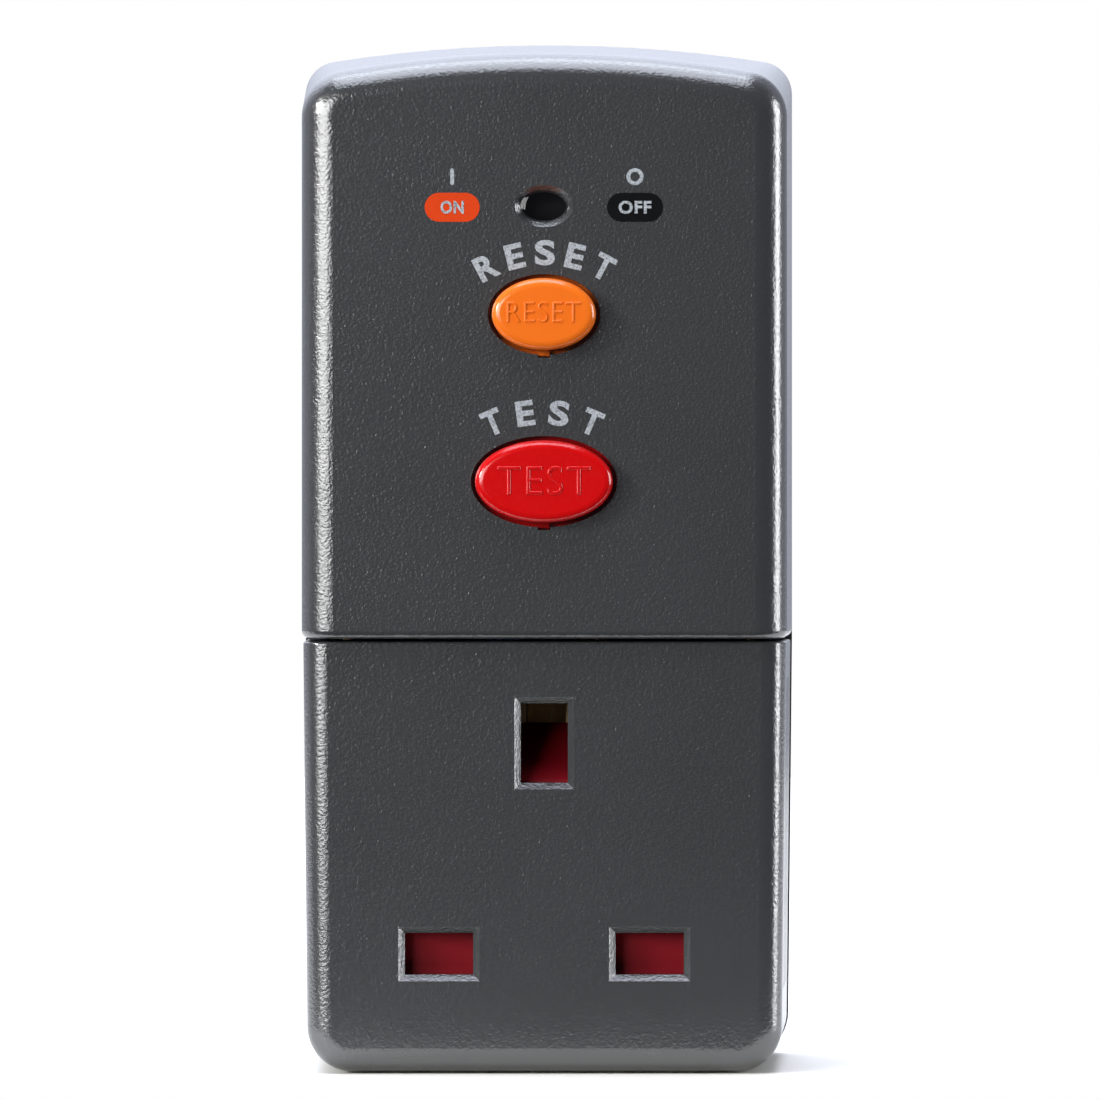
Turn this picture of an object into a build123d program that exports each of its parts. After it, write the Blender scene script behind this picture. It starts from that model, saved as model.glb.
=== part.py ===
from build123d import *
import os

# Residual current adapter plug, in millimetres.
# X runs to the right, Z up the adapter, and the front faces -Y.
# The origin is on the plug face, midway between the two flat pins.
# A depth is the distance in front of the plug face, towards -Y.

os.makedirs("parts", exist_ok=True)

# Driving dimensions of the three-pin plug and socket system
pin_spacing = 22.23
earth_rise = 22.23
flat_pin_width = 6.35
flat_pin_thickness = 4.0
flat_pin_length = 17.7
earth_pin_width = 4.0
earth_pin_height = 7.95
earth_pin_length = 22.73

# Driving dimensions of the casing
body_half_width = 26.5
side_draft = 0.95
side_step = 0.15
bottom_narrowing = 0.45
top_z = 97.6
top_draft = 2.7
bottom_z = -12.7
arch_rise = 2.3
arch_rise_gain = 0.4
top_corner = 3.6
top_corner_gain = 1.6
bottom_corner = 5.0
tray_depth = 10.0
socket_depth = 40.5
control_depth = 42.0
split_z = 33.1
split_gap = 0.3
wall = 2.0
rear_wall = 2.5
front_wall = 2.2
socket_front_wall = 2.5

# Driving dimensions of the controls
reset_z = 67.4
reset_width = 10.95
reset_height = 7.6
reset_proud = 2.1
reset_travel = 2.5
test_z = 49.8
test_width = 14.5
test_height = 8.7
test_proud = 1.8
test_travel = 1.8
window_z = 78.8
window_width = 4.5
window_height = 2.8
contact_gap = reset_travel

# Clearances, sheet metal and the overrun of every cut
running = 0.05
fit_gap = 0.1
loose_gap = 0.3
strip = 0.8
overrun = 1.0

# Places that several pieces share
pin_side = pin_spacing / 2
split_top = split_z + split_gap / 2
split_low = split_z - split_gap / 2
control_inner = control_depth - front_wall
socket_inner = socket_depth - socket_front_wall


def face_plane(depth):
    """Plane parallel to the plug face at a depth: local x is X, local y is Z."""
    return Plane.XZ.offset(depth)


def add_block(left, right, low, high, rear, front, mode=Mode.ADD):
    """Box between two sides, two heights and two depths."""
    with BuildSketch(face_plane(rear)) as profile:
        with Locations(((left + right) / 2, (low + high) / 2)):
            Rectangle(right - left, high - low)
    extrude(profile.sketch, amount=front - rear, mode=mode)


def add_round(x, z, radius, rear, front, mode=Mode.ADD):
    """Round post or hole along the depth."""
    with BuildSketch(face_plane(rear)) as profile:
        with Locations((x, z)):
            Circle(radius)
    extrude(profile.sketch, amount=front - rear, mode=mode)


def add_oval(z, width, height, rear, front, mode=Mode.ADD):
    """Oval block or hole on the centre line, along the depth."""
    with BuildSketch(face_plane(rear)) as profile:
        with Locations((0, z)):
            Ellipse(width / 2, height / 2)
    extrude(profile.sketch, amount=front - rear, mode=mode)


def add_cross_round(depth, z, radius, left, right, mode=Mode.ADD):
    """Round pin or hole along X."""
    with BuildSketch(Plane.YZ.offset(left)) as profile:
        with Locations((-depth, z)):
            Circle(radius)
    extrude(profile.sketch, amount=right - left, mode=mode)


def add_upright_round(x, depth, radius, low, high, mode=Mode.ADD):
    """Round pin or hole along Z."""
    with BuildSketch(Plane.XY.offset(low)) as profile:
        with Locations((x, -depth)):
            Circle(radius)
    extrude(profile.sketch, amount=high - low, mode=mode)


def casing_outline(depth, inset):
    """Casing outline at a depth, drawn in by inset: flat foot, arched top, draft."""
    draft_share = (depth - tray_depth) / (control_depth - tray_depth)
    half = body_half_width - side_draft * draft_share - inset
    foot_half = half - bottom_narrowing
    crest = top_z - top_draft * draft_share - inset
    shoulder = crest - arch_rise - arch_rise_gain * draft_share
    foot = bottom_z + inset
    with BuildSketch(face_plane(depth)) as outline:
        with BuildLine():
            Polyline(
                (-half, shoulder),
                (-half, split_z),
                (-foot_half, foot),
                (foot_half, foot),
                (half, split_z),
                (half, shoulder),
            )
            ThreePointArc((half, shoulder), (0, crest), (-half, shoulder))
        make_face()
        top_corners = outline.vertices().sort_by(Axis.Y)[-2:]
        fillet(top_corners, top_corner + top_corner_gain * draft_share - inset)
        foot_corners = outline.vertices().sort_by(Axis.Y)[:2]
        fillet(foot_corners, bottom_corner - inset)
    return outline.sketch


def add_casing(rear, front, inset, mode=Mode.ADD):
    """Drafted casing form between two depths."""
    sections = [casing_outline(rear, inset).face(), casing_outline(front, inset).face()]
    loft(sections, ruled=True, mode=mode)


# Values shared by the tray, its covers and the screws between them
case_screw_places = [(-18.5, 87.0), (18.5, 87.0), (-19.6, -6.2), (19.6, -6.2)]
boss_radius = 4.0
cover_boss_radius = 3.2
boss_meet = 12.0
screw_shank = 1.45
screw_head = 2.6
screw_head_height = 1.8
screw_recess = 2.9
screw_recess_depth = 2.0
screw_length = 17.0
screw_cross_length = 3.0
screw_cross_width = 0.6
screw_cross_depth = 0.9
lip_height = 1.5
lip_thickness = 0.9

# Values shared by the pins and what holds them
sleeve_wall = 0.5
sleeve_length = 9.5
pin_head_height = 2.0
pin_head_margin = 1.3
tab_width = 4.0
tab_thickness = 2.0
tab_depth = 8.0
retainer_thickness = 2.0
retainer_half_width = 15.6
retainer_screw_places = [(0, 0), (0, 11.5)]
retainer_boss_radius = 2.4
small_shank = 1.0
small_head = 1.8
small_head_height = 1.0
head_rear = rear_wall + pin_head_height
retainer_front = head_rear + retainer_thickness

# Values shared by the circuit board and what stands on it
board_standoff = 3.5
board_thickness = 1.6
board_half_width = 17.5
board_low = 35.0
board_high = 82.0
standoff_radius = 2.6
board_screw_places = [(-14.0, 41.0), (14.0, 41.0), (-14.0, 80.0), (14.0, 80.0)]
board_rear = rear_wall + board_standoff
board_front = board_rear + board_thickness
frame_base_thickness = 3.4
frame_base_front = board_front + frame_base_thickness

# Rear housing: tray with pin holes, screw bosses, standoffs and a lip round its rim
rear_edge = 2.0
label_half_width = 18.0
label_low = 37.0
label_high = 78.0
label_recess = 0.3


def cut_pin_holes(rear, front, gap):
    """Holes for the three pins, with a gap all round."""
    half_width = flat_pin_width / 2 + gap
    half_thickness = flat_pin_thickness / 2 + gap
    for x in (-pin_side, pin_side):
        add_block(x - half_width, x + half_width, -half_thickness, half_thickness,
                  rear, front, mode=Mode.SUBTRACT)
    earth_half = earth_pin_width / 2 + gap
    earth_tall = earth_pin_height / 2 + gap
    add_block(-earth_half, earth_half, earth_rise - earth_tall, earth_rise + earth_tall,
              rear, front, mode=Mode.SUBTRACT)


with BuildPart() as rear_housing:
    extrude(casing_outline(tray_depth, 0), amount=-tray_depth)
    fillet(rear_housing.faces().sort_by(Axis.Y)[-1].edges(), rear_edge)
    extrude(casing_outline(tray_depth, wall), amount=rear_wall - tray_depth, mode=Mode.SUBTRACT)
    extrude(casing_outline(tray_depth, wall - lip_thickness), amount=lip_height)
    extrude(casing_outline(tray_depth, wall), amount=lip_height, mode=Mode.SUBTRACT)
    for x, z in case_screw_places:
        add_round(x, z, boss_radius, rear_wall, boss_meet)
    for x, z in retainer_screw_places:
        add_round(x, z, retainer_boss_radius, rear_wall, head_rear)
    for x, z in board_screw_places:
        add_round(x, z, standoff_radius, rear_wall, board_rear)
    for x, z in case_screw_places:
        add_round(x, z, screw_recess, 0, screw_recess_depth, mode=Mode.SUBTRACT)
        add_round(x, z, screw_shank + fit_gap, 0, boss_meet, mode=Mode.SUBTRACT)
    for x, z in retainer_screw_places + board_screw_places:
        add_round(x, z, small_shank + running, rear_wall - overrun, board_rear,
                  mode=Mode.SUBTRACT)
    add_block(-label_half_width, label_half_width, label_low, label_high,
              0, label_recess, mode=Mode.SUBTRACT)
    cut_pin_holes(-overrun, head_rear, running)
rear_housing.part.label = "rear_housing"
export_step(rear_housing.part, "parts/rear_housing.step")

# Control cover: upper front moulding with the button wells, window and split wall
control_edge = 3.4
control_foot_edge = 0.8
well_gap = 0.45
key_width = 1.3
key_height = 0.3
window_bevel = 0.7
split_wall = 2.0
split_wall_rear = 29.0
passage_margin = 1.2
pilot_depth = 8.0
deck_drop = 5.8
deck_thickness = 1.4
deck_post_radius = 2.0
deck_post_places = [(-12.0, 47.0), (12.0, 47.0), (-12.0, 70.0), (12.0, 70.0)]
deck_front = control_inner - deck_drop
deck_rear = deck_front - deck_thickness
deck_pilot_depth = 4.0

with BuildPart() as control_cavity:
    add_casing(tray_depth, control_inner, wall)
    split(bisect_by=Plane.XY.offset(split_top + split_wall), keep=Keep.TOP)

with BuildPart() as control_cover:
    add_casing(tray_depth, control_depth, 0)
    split(bisect_by=Plane.XY.offset(split_top), keep=Keep.TOP)
    face_edges = control_cover.faces().sort_by(Axis.Y)[0].edges().sort_by(Axis.Z)
    fillet(face_edges[1:], control_edge)
    foot_edges = control_cover.faces().sort_by(Axis.Z)[0].edges().sort_by(Axis.Y)
    fillet(foot_edges[:3], control_foot_edge)
    add(control_cavity.part, mode=Mode.SUBTRACT)
    passage = body_half_width - wall - passage_margin
    add_block(-passage, passage, split_top - overrun, split_top + split_wall + overrun,
              tray_depth - overrun, split_wall_rear, mode=Mode.SUBTRACT)
    extrude(casing_outline(tray_depth, wall - lip_thickness - fit_gap),
            amount=lip_height + fit_gap, mode=Mode.SUBTRACT)
    for x, z in case_screw_places[:2]:
        add_round(x, z, cover_boss_radius, boss_meet, control_inner)
        add_round(x, z, screw_shank + running, boss_meet, boss_meet + pilot_depth,
                  mode=Mode.SUBTRACT)
    for x, z in deck_post_places:
        add_round(x, z, deck_post_radius, deck_front, control_inner)
        add_round(x, z, small_shank + running, deck_front, deck_front + deck_pilot_depth,
                  mode=Mode.SUBTRACT)
    for z, width, height in (
        (reset_z, reset_width, reset_height),
        (test_z, test_width, test_height),
    ):
        add_oval(z, width + 2 * well_gap, height + 2 * well_gap,
                 control_inner - overrun, control_depth + overrun, mode=Mode.SUBTRACT)
        key_low = z - height / 2 - well_gap - key_height
        add_block(-key_width / 2, key_width / 2, key_low, z,
                  control_inner - overrun, control_depth + overrun, mode=Mode.SUBTRACT)
    add_oval(window_z, window_width + 2 * fit_gap, window_height + 2 * fit_gap,
             control_inner - overrun, control_depth + overrun, mode=Mode.SUBTRACT)
    front_face = control_cover.faces().filter_by(Axis.Y).sort_by(Axis.Y)[0]
    window_edges = front_face.inner_wires().sort_by(Axis.Z)[-1].edges()
    chamfer(window_edges, window_bevel)
control_cover.part.label = "control_cover"
export_step(control_cover.part, "parts/control_cover.step")

# Socket cover: lower front moulding with three bevelled apertures and side grips
socket_edge = 2.6
socket_top_edge = 0.3
aperture_gap_wide = 0.85
aperture_gap_thin = 0.4
earth_gap_wide = 0.95
earth_gap_tall = 0.45
aperture_bevel = 0.68
grip_depths = (20.0, 26.0, 32.0)
grip_width = 1.2
grip_cut = 0.5
grip_low = -4.0
grip_high = 29.0
spring_seat_half = 1.8
spring_seat_low = -10.9
spring_seat_high = -9.6
shutter_gap = 0.2
shutter_thickness = 2.2
shutter_front = socket_inner - shutter_gap
shutter_rear = shutter_front - shutter_thickness
aperture_half_width = flat_pin_width / 2 + aperture_gap_wide / 2
aperture_half_height = flat_pin_thickness / 2 + aperture_gap_thin / 2
earth_half_width = earth_pin_width / 2 + earth_gap_wide / 2
earth_half_height = earth_pin_height / 2 + earth_gap_tall / 2

with BuildPart() as socket_cavity:
    add_casing(tray_depth, socket_inner, wall + side_step)
    split(bisect_by=Plane.XY.offset(split_low - split_wall), keep=Keep.BOTTOM)

with BuildPart() as socket_cover:
    add_casing(tray_depth, socket_depth, side_step)
    split(bisect_by=Plane.XY.offset(split_low), keep=Keep.BOTTOM)
    face_edges = socket_cover.faces().sort_by(Axis.Y)[0].edges().sort_by(Axis.Z)
    fillet(face_edges[:-1], socket_edge)
    top_edges = socket_cover.faces().sort_by(Axis.Z)[-1].edges().sort_by(Axis.Y)
    fillet(top_edges[:3], socket_top_edge)
    add(socket_cavity.part, mode=Mode.SUBTRACT)
    add_block(-passage, passage, split_low - split_wall - overrun, split_low + overrun,
              tray_depth - overrun, split_wall_rear, mode=Mode.SUBTRACT)
    extrude(casing_outline(tray_depth, wall - lip_thickness - fit_gap),
            amount=lip_height + fit_gap, mode=Mode.SUBTRACT)
    for x, z in case_screw_places[2:]:
        add_round(x, z, cover_boss_radius, boss_meet, socket_inner)
        add_round(x, z, screw_shank + running, boss_meet, boss_meet + pilot_depth,
                  mode=Mode.SUBTRACT)
    add_block(-spring_seat_half, spring_seat_half, spring_seat_low, spring_seat_high,
              shutter_rear, socket_inner)
    for x in (-pin_side, pin_side):
        add_block(x - aperture_half_width, x + aperture_half_width,
                  -aperture_half_height, aperture_half_height,
                  socket_inner - overrun, socket_depth + overrun, mode=Mode.SUBTRACT)
    add_block(-earth_half_width, earth_half_width,
              earth_rise - earth_half_height, earth_rise + earth_half_height,
              socket_inner - overrun, socket_depth + overrun, mode=Mode.SUBTRACT)
    front_face = socket_cover.faces().filter_by(Axis.Y).sort_by(Axis.Y)[0]
    chamfer(front_face.inner_wires().edges(), aperture_bevel)
    for depth in grip_depths:
        draft_share = (depth - tray_depth) / (control_depth - tray_depth)
        grip_side = body_half_width - side_draft * draft_share - side_step - grip_cut
        for side in (-1, 1):
            near = min(side * grip_side, side * (grip_side + overrun))
            far = max(side * grip_side, side * (grip_side + overrun))
            add_block(near, far, grip_low, grip_high,
                      depth - grip_width / 2, depth + grip_width / 2, mode=Mode.SUBTRACT)
socket_cover.part.label = "socket_cover"
export_step(socket_cover.part, "parts/socket_cover.step")

# Casing screws: four pan heads in the tray's recesses, into the cover bosses
screw_head_rear = screw_recess_depth - screw_head_height

with BuildPart() as case_screws:
    for x, z in case_screw_places:
        add_round(x, z, screw_head, screw_head_rear, screw_recess_depth)
        add_round(x, z, screw_shank, screw_recess_depth, screw_recess_depth + screw_length)
        for across, tall in (
            (screw_cross_length, screw_cross_width),
            (screw_cross_width, screw_cross_length),
        ):
            add_block(x - across / 2, x + across / 2, z - tall / 2, z + tall / 2,
                      0, screw_head_rear + screw_cross_depth, mode=Mode.SUBTRACT)
case_screws.part.label = "case_screws"
export_step(case_screws.part, "parts/case_screws.step")

# Flat pins with their insulating sleeves: a head inside the tray and a solder tab
pin_tip = 0.8
sides = (("neutral", -1), ("live", 1))

for name, side in sides:
    x = side * pin_side
    half_width = flat_pin_width / 2
    half_thickness = flat_pin_thickness / 2
    head_half = half_width + pin_head_margin
    head_tall = half_thickness + pin_head_margin
    with BuildPart() as flat_pin:
        add_block(x - half_width, x + half_width, -half_thickness, half_thickness,
                  -flat_pin_length, -sleeve_length)
        chamfer(flat_pin.faces().sort_by(Axis.Y)[-1].edges(), pin_tip)
        add_block(x - half_width + sleeve_wall, x + half_width - sleeve_wall,
                  sleeve_wall - half_thickness, half_thickness - sleeve_wall,
                  -sleeve_length, rear_wall)
        add_block(x - head_half, x + head_half, -head_tall, head_tall, rear_wall, head_rear)
        add_block(x - tab_width / 2, x + tab_width / 2, -tab_thickness / 2,
                  tab_thickness / 2, head_rear, tab_depth)
    flat_pin.part.label = name + "_pin"
    export_step(flat_pin.part, "parts/" + name + "_pin.step")
    with BuildPart() as pin_sleeve:
        add_block(x - half_width, x + half_width, -half_thickness, half_thickness,
                  -sleeve_length, rear_wall)
        add_block(x - half_width + sleeve_wall, x + half_width - sleeve_wall,
                  sleeve_wall - half_thickness, half_thickness - sleeve_wall,
                  -sleeve_length, rear_wall, mode=Mode.SUBTRACT)
    pin_sleeve.part.label = name + "_pin_sleeve"
    export_step(pin_sleeve.part, "parts/" + name + "_pin_sleeve.step")

# Earth pin: longer, turned upright, with the same kind of head and tab
with BuildPart() as earth_pin:
    half_width = earth_pin_width / 2
    half_height = earth_pin_height / 2
    add_block(-half_width, half_width, earth_rise - half_height, earth_rise + half_height,
              -earth_pin_length, rear_wall)
    chamfer(earth_pin.faces().sort_by(Axis.Y)[-1].edges(), pin_tip)
    head_half = half_width + pin_head_margin
    head_tall = half_height + pin_head_margin
    add_block(-head_half, head_half, earth_rise - head_tall, earth_rise + head_tall,
              rear_wall, head_rear)
    add_block(-tab_thickness / 2, tab_thickness / 2, earth_rise - tab_width / 2,
              earth_rise + tab_width / 2, head_rear, tab_depth)
earth_pin.part.label = "earth_pin"
export_step(earth_pin.part, "parts/earth_pin.step")

# Pin retainer: plate over the three pin heads, with two screws into the tray
retainer_half_height = 4.6
retainer_neck_half = 5.4
retainer_top = earth_rise + earth_pin_height / 2 + pin_head_margin + overrun

with BuildPart() as pin_retainer:
    add_block(-retainer_half_width, retainer_half_width, -retainer_half_height,
              retainer_half_height, head_rear, retainer_front)
    add_block(-retainer_neck_half, retainer_neck_half, retainer_half_height, retainer_top,
              head_rear, retainer_front)
    for x in (-pin_side, pin_side):
        half_width = tab_width / 2 + fit_gap
        half_thickness = tab_thickness / 2 + fit_gap
        add_block(x - half_width, x + half_width, -half_thickness, half_thickness,
                  head_rear, retainer_front, mode=Mode.SUBTRACT)
    add_block(-half_thickness, half_thickness, earth_rise - half_width,
              earth_rise + half_width, head_rear, retainer_front, mode=Mode.SUBTRACT)
    for x, z in retainer_screw_places:
        add_round(x, z, small_shank + fit_gap, head_rear, retainer_front, mode=Mode.SUBTRACT)
pin_retainer.part.label = "pin_retainer"
export_step(pin_retainer.part, "parts/pin_retainer.step")

with BuildPart() as retainer_screws:
    for x, z in retainer_screw_places:
        add_round(x, z, small_shank, rear_wall, retainer_front)
        add_round(x, z, small_head, retainer_front, retainer_front + small_head_height)
retainer_screws.part.label = "retainer_screws"
export_step(retainer_screws.part, "parts/retainer_screws.step")

# Shutter: one slide with a wing behind each flat aperture and a ramp for the earth pin
shutter_wing_reach = 15.4
shutter_wing_half = 2.9
shutter_body_half = 5.0
shutter_body_top = 17.0
ramp_half = 3.0
ramp_low = 18.3
ramp_high = 24.2
ramp_rear = 30.5
ramp_back_low = 21.0
spring_slot_half = 1.3
spring_slot_top = 8.0
shutter_spring_radius = 1.0
shutter_spring_bore = 0.65
shutter_middle = (shutter_front + shutter_rear) / 2

with BuildPart() as shutter:
    add_block(-shutter_wing_reach, shutter_wing_reach, -shutter_wing_half,
              shutter_wing_half, shutter_rear, shutter_front)
    add_block(-shutter_body_half, shutter_body_half, -shutter_wing_half, shutter_body_top,
              shutter_rear, shutter_front)
    with BuildSketch(Plane.YZ.offset(-ramp_half)) as ramp_profile:
        with BuildLine():
            Polyline(
                (-shutter_front, shutter_body_top - overrun),
                (-shutter_front, ramp_low),
                (-ramp_rear, ramp_high),
                (-ramp_rear, ramp_back_low),
                (-shutter_rear, shutter_body_top - overrun),
                close=True,
            )
        make_face()
    extrude(ramp_profile.sketch, amount=2 * ramp_half)
    add_block(-spring_slot_half, spring_slot_half, -shutter_wing_half - overrun,
              spring_slot_top, shutter_rear, shutter_front, mode=Mode.SUBTRACT)
shutter.part.label = "shutter"
export_step(shutter.part, "parts/shutter.step")

with BuildPart() as shutter_spring:
    add_upright_round(0, shutter_middle, shutter_spring_radius,
                      spring_seat_high, spring_slot_top)
    add_upright_round(0, shutter_middle, shutter_spring_bore,
                      spring_seat_high, spring_slot_top, mode=Mode.SUBTRACT)
shutter_spring.part.label = "shutter_spring"
export_step(shutter_spring.part, "parts/shutter_spring.step")

# Socket block: insulating block with a cavity for each contact clip and side rails
block_rear = 12.0
block_gap = 0.3
block_front = shutter_rear - block_gap
block_half_width = 16.2
block_low = -7.0
block_shoulder = 8.0
block_neck_half = 6.2
block_top = 28.2
rail_thickness = 0.6
cavity_half = 3.9
cavity_half_thin = 3.6
earth_cavity_half = 3.3
earth_cavity_low = 17.6
earth_cavity_high = 27.2
ramp_pocket_rear = 30.0
ramp_pocket_low = 9.4
tail_notch_half = 2.0
tail_notch_front = 17.0
leg_near = 3.0
leg_far = 5.5
leg_low = -4.5
leg_high = -2.5

with BuildPart() as socket_block:
    add_block(-block_half_width, block_half_width, block_low, block_shoulder,
              block_rear, block_front)
    add_block(-block_neck_half, block_neck_half, block_shoulder, block_top,
              block_rear, block_front)
    for side in (-1, 1):
        x = side * (block_half_width - rail_thickness / 2)
        add_block(x - rail_thickness / 2, x + rail_thickness / 2, block_low,
                  block_shoulder, block_front, socket_inner - fit_gap)
        x = side * (leg_near + leg_far) / 2
        leg_half = (leg_far - leg_near) / 2
        add_block(x - leg_half, x + leg_half, leg_low, leg_high, retainer_front, block_rear)
        x = side * pin_side
        add_block(x - cavity_half, x + cavity_half, -cavity_half_thin, cavity_half_thin,
                  block_rear, block_front, mode=Mode.SUBTRACT)
        add_block(x - tail_notch_half, x + tail_notch_half, 0, block_shoulder,
                  block_rear, tail_notch_front, mode=Mode.SUBTRACT)
    add_block(-earth_cavity_half, earth_cavity_half, earth_cavity_low, earth_cavity_high,
              block_rear, block_front, mode=Mode.SUBTRACT)
    add_block(-earth_cavity_half, earth_cavity_half, ramp_pocket_low, earth_cavity_high,
              ramp_pocket_rear, block_front, mode=Mode.SUBTRACT)
socket_block.part.label = "socket_block"
export_step(socket_block.part, "parts/socket_block.step")

# Contact clips: two brass leaves on a back web, the flat ones with a tail for the lead
leaf_grip = 2.15
clip_rear = 15.0
flat_clip_front = 33.0
earth_clip_front = 29.5
tail_half = 1.5
tail_top = 9.0
leaf_outer = leaf_grip + strip

for name, side in sides:
    x = side * pin_side
    half_width = flat_pin_width / 2
    with BuildPart() as contact:
        add_block(x - half_width, x + half_width, -leaf_outer, leaf_outer,
                  clip_rear, flat_clip_front)
        add_block(x - half_width, x + half_width, -leaf_grip, leaf_grip,
                  clip_rear + strip, flat_clip_front, mode=Mode.SUBTRACT)
        add_block(x - tail_half, x + tail_half, leaf_grip, tail_top,
                  clip_rear, clip_rear + strip)
    contact.part.label = name + "_contact"
    export_step(contact.part, "parts/" + name + "_contact.step")

with BuildPart() as earth_contact:
    low = earth_rise - earth_pin_height / 2
    high = earth_rise + earth_pin_height / 2
    add_block(-leaf_outer, leaf_outer, low, high, clip_rear, earth_clip_front)
    add_block(-leaf_grip, leaf_grip, low, high, clip_rear + strip, earth_clip_front,
              mode=Mode.SUBTRACT)
earth_contact.part.label = "earth_contact"
export_step(earth_contact.part, "parts/earth_contact.step")

# Earth strap: bent strip from the earth pin's tab to the earth clip
strap_half_width = 2.2
strap_half_height = 2.4

with BuildPart() as earth_strap:
    low = earth_rise - strap_half_height
    high = earth_rise + strap_half_height
    add_block(-strap_half_width, strap_half_width, low, high, tab_depth, tab_depth + strip)
    add_block(-strap_half_width, strip - strap_half_width, low, high, tab_depth, clip_rear)
    add_block(-strap_half_width, strap_half_width, low, high, clip_rear - strip, clip_rear)
earth_strap.part.label = "earth_strap"
export_step(earth_strap.part, "parts/earth_strap.step")

# Values shared by the contact mechanism, stacked from the board towards the front
carrier_rise = 7.0
carrier_thickness = 4.0
moving_tip_height = 0.8
fixed_tip_height = 0.8
tip_radius = 1.3
tip_reach = 5.0
bar_width = 4.0
bar_wall_gap = 2.1
tower_bar_gap = 0.2
tower_thickness = 1.9
frame_tower_step = 0.8
bridge_frame_step = 1.7
stem_radius = 1.5
guide_radius = 1.2
guide_x = 8.0
carrier_rear = frame_base_front + carrier_rise
carrier_front = carrier_rear + carrier_thickness
bridge_front = carrier_front + strip
moving_tip_front = bridge_front + moving_tip_height
fixed_tip_rear = moving_tip_front + contact_gap
bar_rear = fixed_tip_rear + fixed_tip_height
bar_front = bar_rear + strip
supply_z = reset_z + tip_reach
load_z = reset_z - tip_reach
bar_side = body_half_width - wall - bar_wall_gap
half_bar = bar_width / 2
tower_far = bar_side - strip - tower_bar_gap
tower_near = tower_far - tower_thickness
frame_half_width = tower_near - frame_tower_step
bridge_x = frame_half_width - bridge_frame_step


def add_side_block(side, near, far, low, high, rear, front, mode=Mode.ADD):
    """Box on one side of the centre line, from its near to its far side."""
    ends = sorted((side * near, side * far))
    add_block(ends[0], ends[1], low, high, rear, front, mode=mode)


# Supply bars: brass strips from the flat pins' tabs up the sides to the fixed contacts
for name, side in sides:
    with BuildPart() as supply_bar:
        add_side_block(side, pin_side - tab_width, bar_side, -half_bar, half_bar,
                       tab_depth, tab_depth + strip)
        add_side_block(side, bar_side - strip, bar_side, -half_bar, supply_z + half_bar,
                       tab_depth, tab_depth + bar_width)
        add_side_block(side, bar_side - strip, bar_side, supply_z - half_bar,
                       supply_z + half_bar, tab_depth, bar_front)
        add_side_block(side, bridge_x - half_bar, bar_side, supply_z - half_bar,
                       supply_z + half_bar, bar_rear, bar_front)
        add_round(side * bridge_x, supply_z, tip_radius, fixed_tip_rear, bar_rear)
    supply_bar.part.label = name + "_supply_bar"
    export_step(supply_bar.part, "parts/" + name + "_supply_bar.step")

# Load bars: short strips with a fixed contact, and a crimp for the insulated lead
load_bar_tail = 56.0
crimp_low = 54.0
crimp_high = 56.5
crimp_half = 1.6
lead_front = (bar_rear + bar_front) / 2

for name, side in sides:
    with BuildPart() as load_bar:
        add_side_block(side, bridge_x - half_bar, bridge_x + half_bar, load_bar_tail,
                       load_z + half_bar, bar_rear, bar_front)
        add_side_block(side, bridge_x - crimp_half, bridge_x + crimp_half, crimp_low,
                       crimp_high, lead_front - crimp_half, lead_front + crimp_half)
        add_round(side * bridge_x, load_z, tip_radius, fixed_tip_rear, bar_rear)
    load_bar.part.label = name + "_load_bar"
    export_step(load_bar.part, "parts/" + name + "_load_bar.step")

# Contact bridges: a strip with a silver-faced tip at each end, riding on the carrier
bridge_margin = 1.5

for name, side in sides:
    with BuildPart() as bridge:
        add_side_block(side, bridge_x - half_bar, bridge_x + half_bar,
                       load_z - bridge_margin, supply_z + bridge_margin,
                       carrier_front, bridge_front)
        for z in (load_z, supply_z):
            add_round(side * bridge_x, z, tip_radius, bridge_front, moving_tip_front)
    bridge.part.label = name + "_bridge"
    export_step(bridge.part, "parts/" + name + "_bridge.step")

# Leads: insulated wires from the load bars, through the toroid, down to the clips
lead_radius = 1.1
lead_clip_depth = clip_rear + strip / 2
lead_corner_low = 27.5
lead_corner_in = 35.5
lead_corner_out = 47.5
lead_corner_top = 50.5
lead_bend = 3.4
lead_pair_x = 1.5
leaf_drop = 1.2
leaf_strip = 0.4
leaf_front = deck_rear - leaf_drop
leaf_rear = leaf_front - leaf_strip
toroid_depth = (board_front + leaf_rear) / 2

for name, side in sides:
    with BuildPart() as lead:
        with BuildLine() as route:
            FilletPolyline(
                (side * pin_side, -lead_clip_depth, tail_top),
                (side * pin_side, -lead_clip_depth, lead_corner_low),
                (side * lead_pair_x, -toroid_depth, lead_corner_in),
                (side * lead_pair_x, -toroid_depth, lead_corner_out),
                (side * bridge_x, -lead_front, lead_corner_top),
                (side * bridge_x, -lead_front, crimp_low),
                radius=lead_bend,
            )
        with BuildSketch(Plane.XY.offset(tail_top)):
            with Locations((side * pin_side, -lead_clip_depth)):
                Circle(lead_radius)
        sweep()
    lead.part.label = name + "_lead"
    export_step(lead.part, "parts/" + name + "_lead.step")

# Toroid: moulded ring core, its winding over part of the ring, and a plastic cradle
toroid_low = 37.1
toroid_height = 6.3
toroid_bore = 4.1
toroid_radius = 7.2
winding_thickness = 0.5
winding_turn = 250
cradle_gap = 0.15
cradle_setback = 5.0
pillar_near = 8.4
pillar_far = 10.4
cradle_front = toroid_depth - cradle_setback
toroid_high = toroid_low + toroid_height

with BuildPart() as toroid_core:
    add_upright_round(0, toroid_depth, toroid_radius, toroid_low, toroid_high)
    add_upright_round(0, toroid_depth, toroid_bore, toroid_low, toroid_high,
                      mode=Mode.SUBTRACT)
toroid_core.part.label = "toroid_core"
export_step(toroid_core.part, "parts/toroid_core.step")

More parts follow.
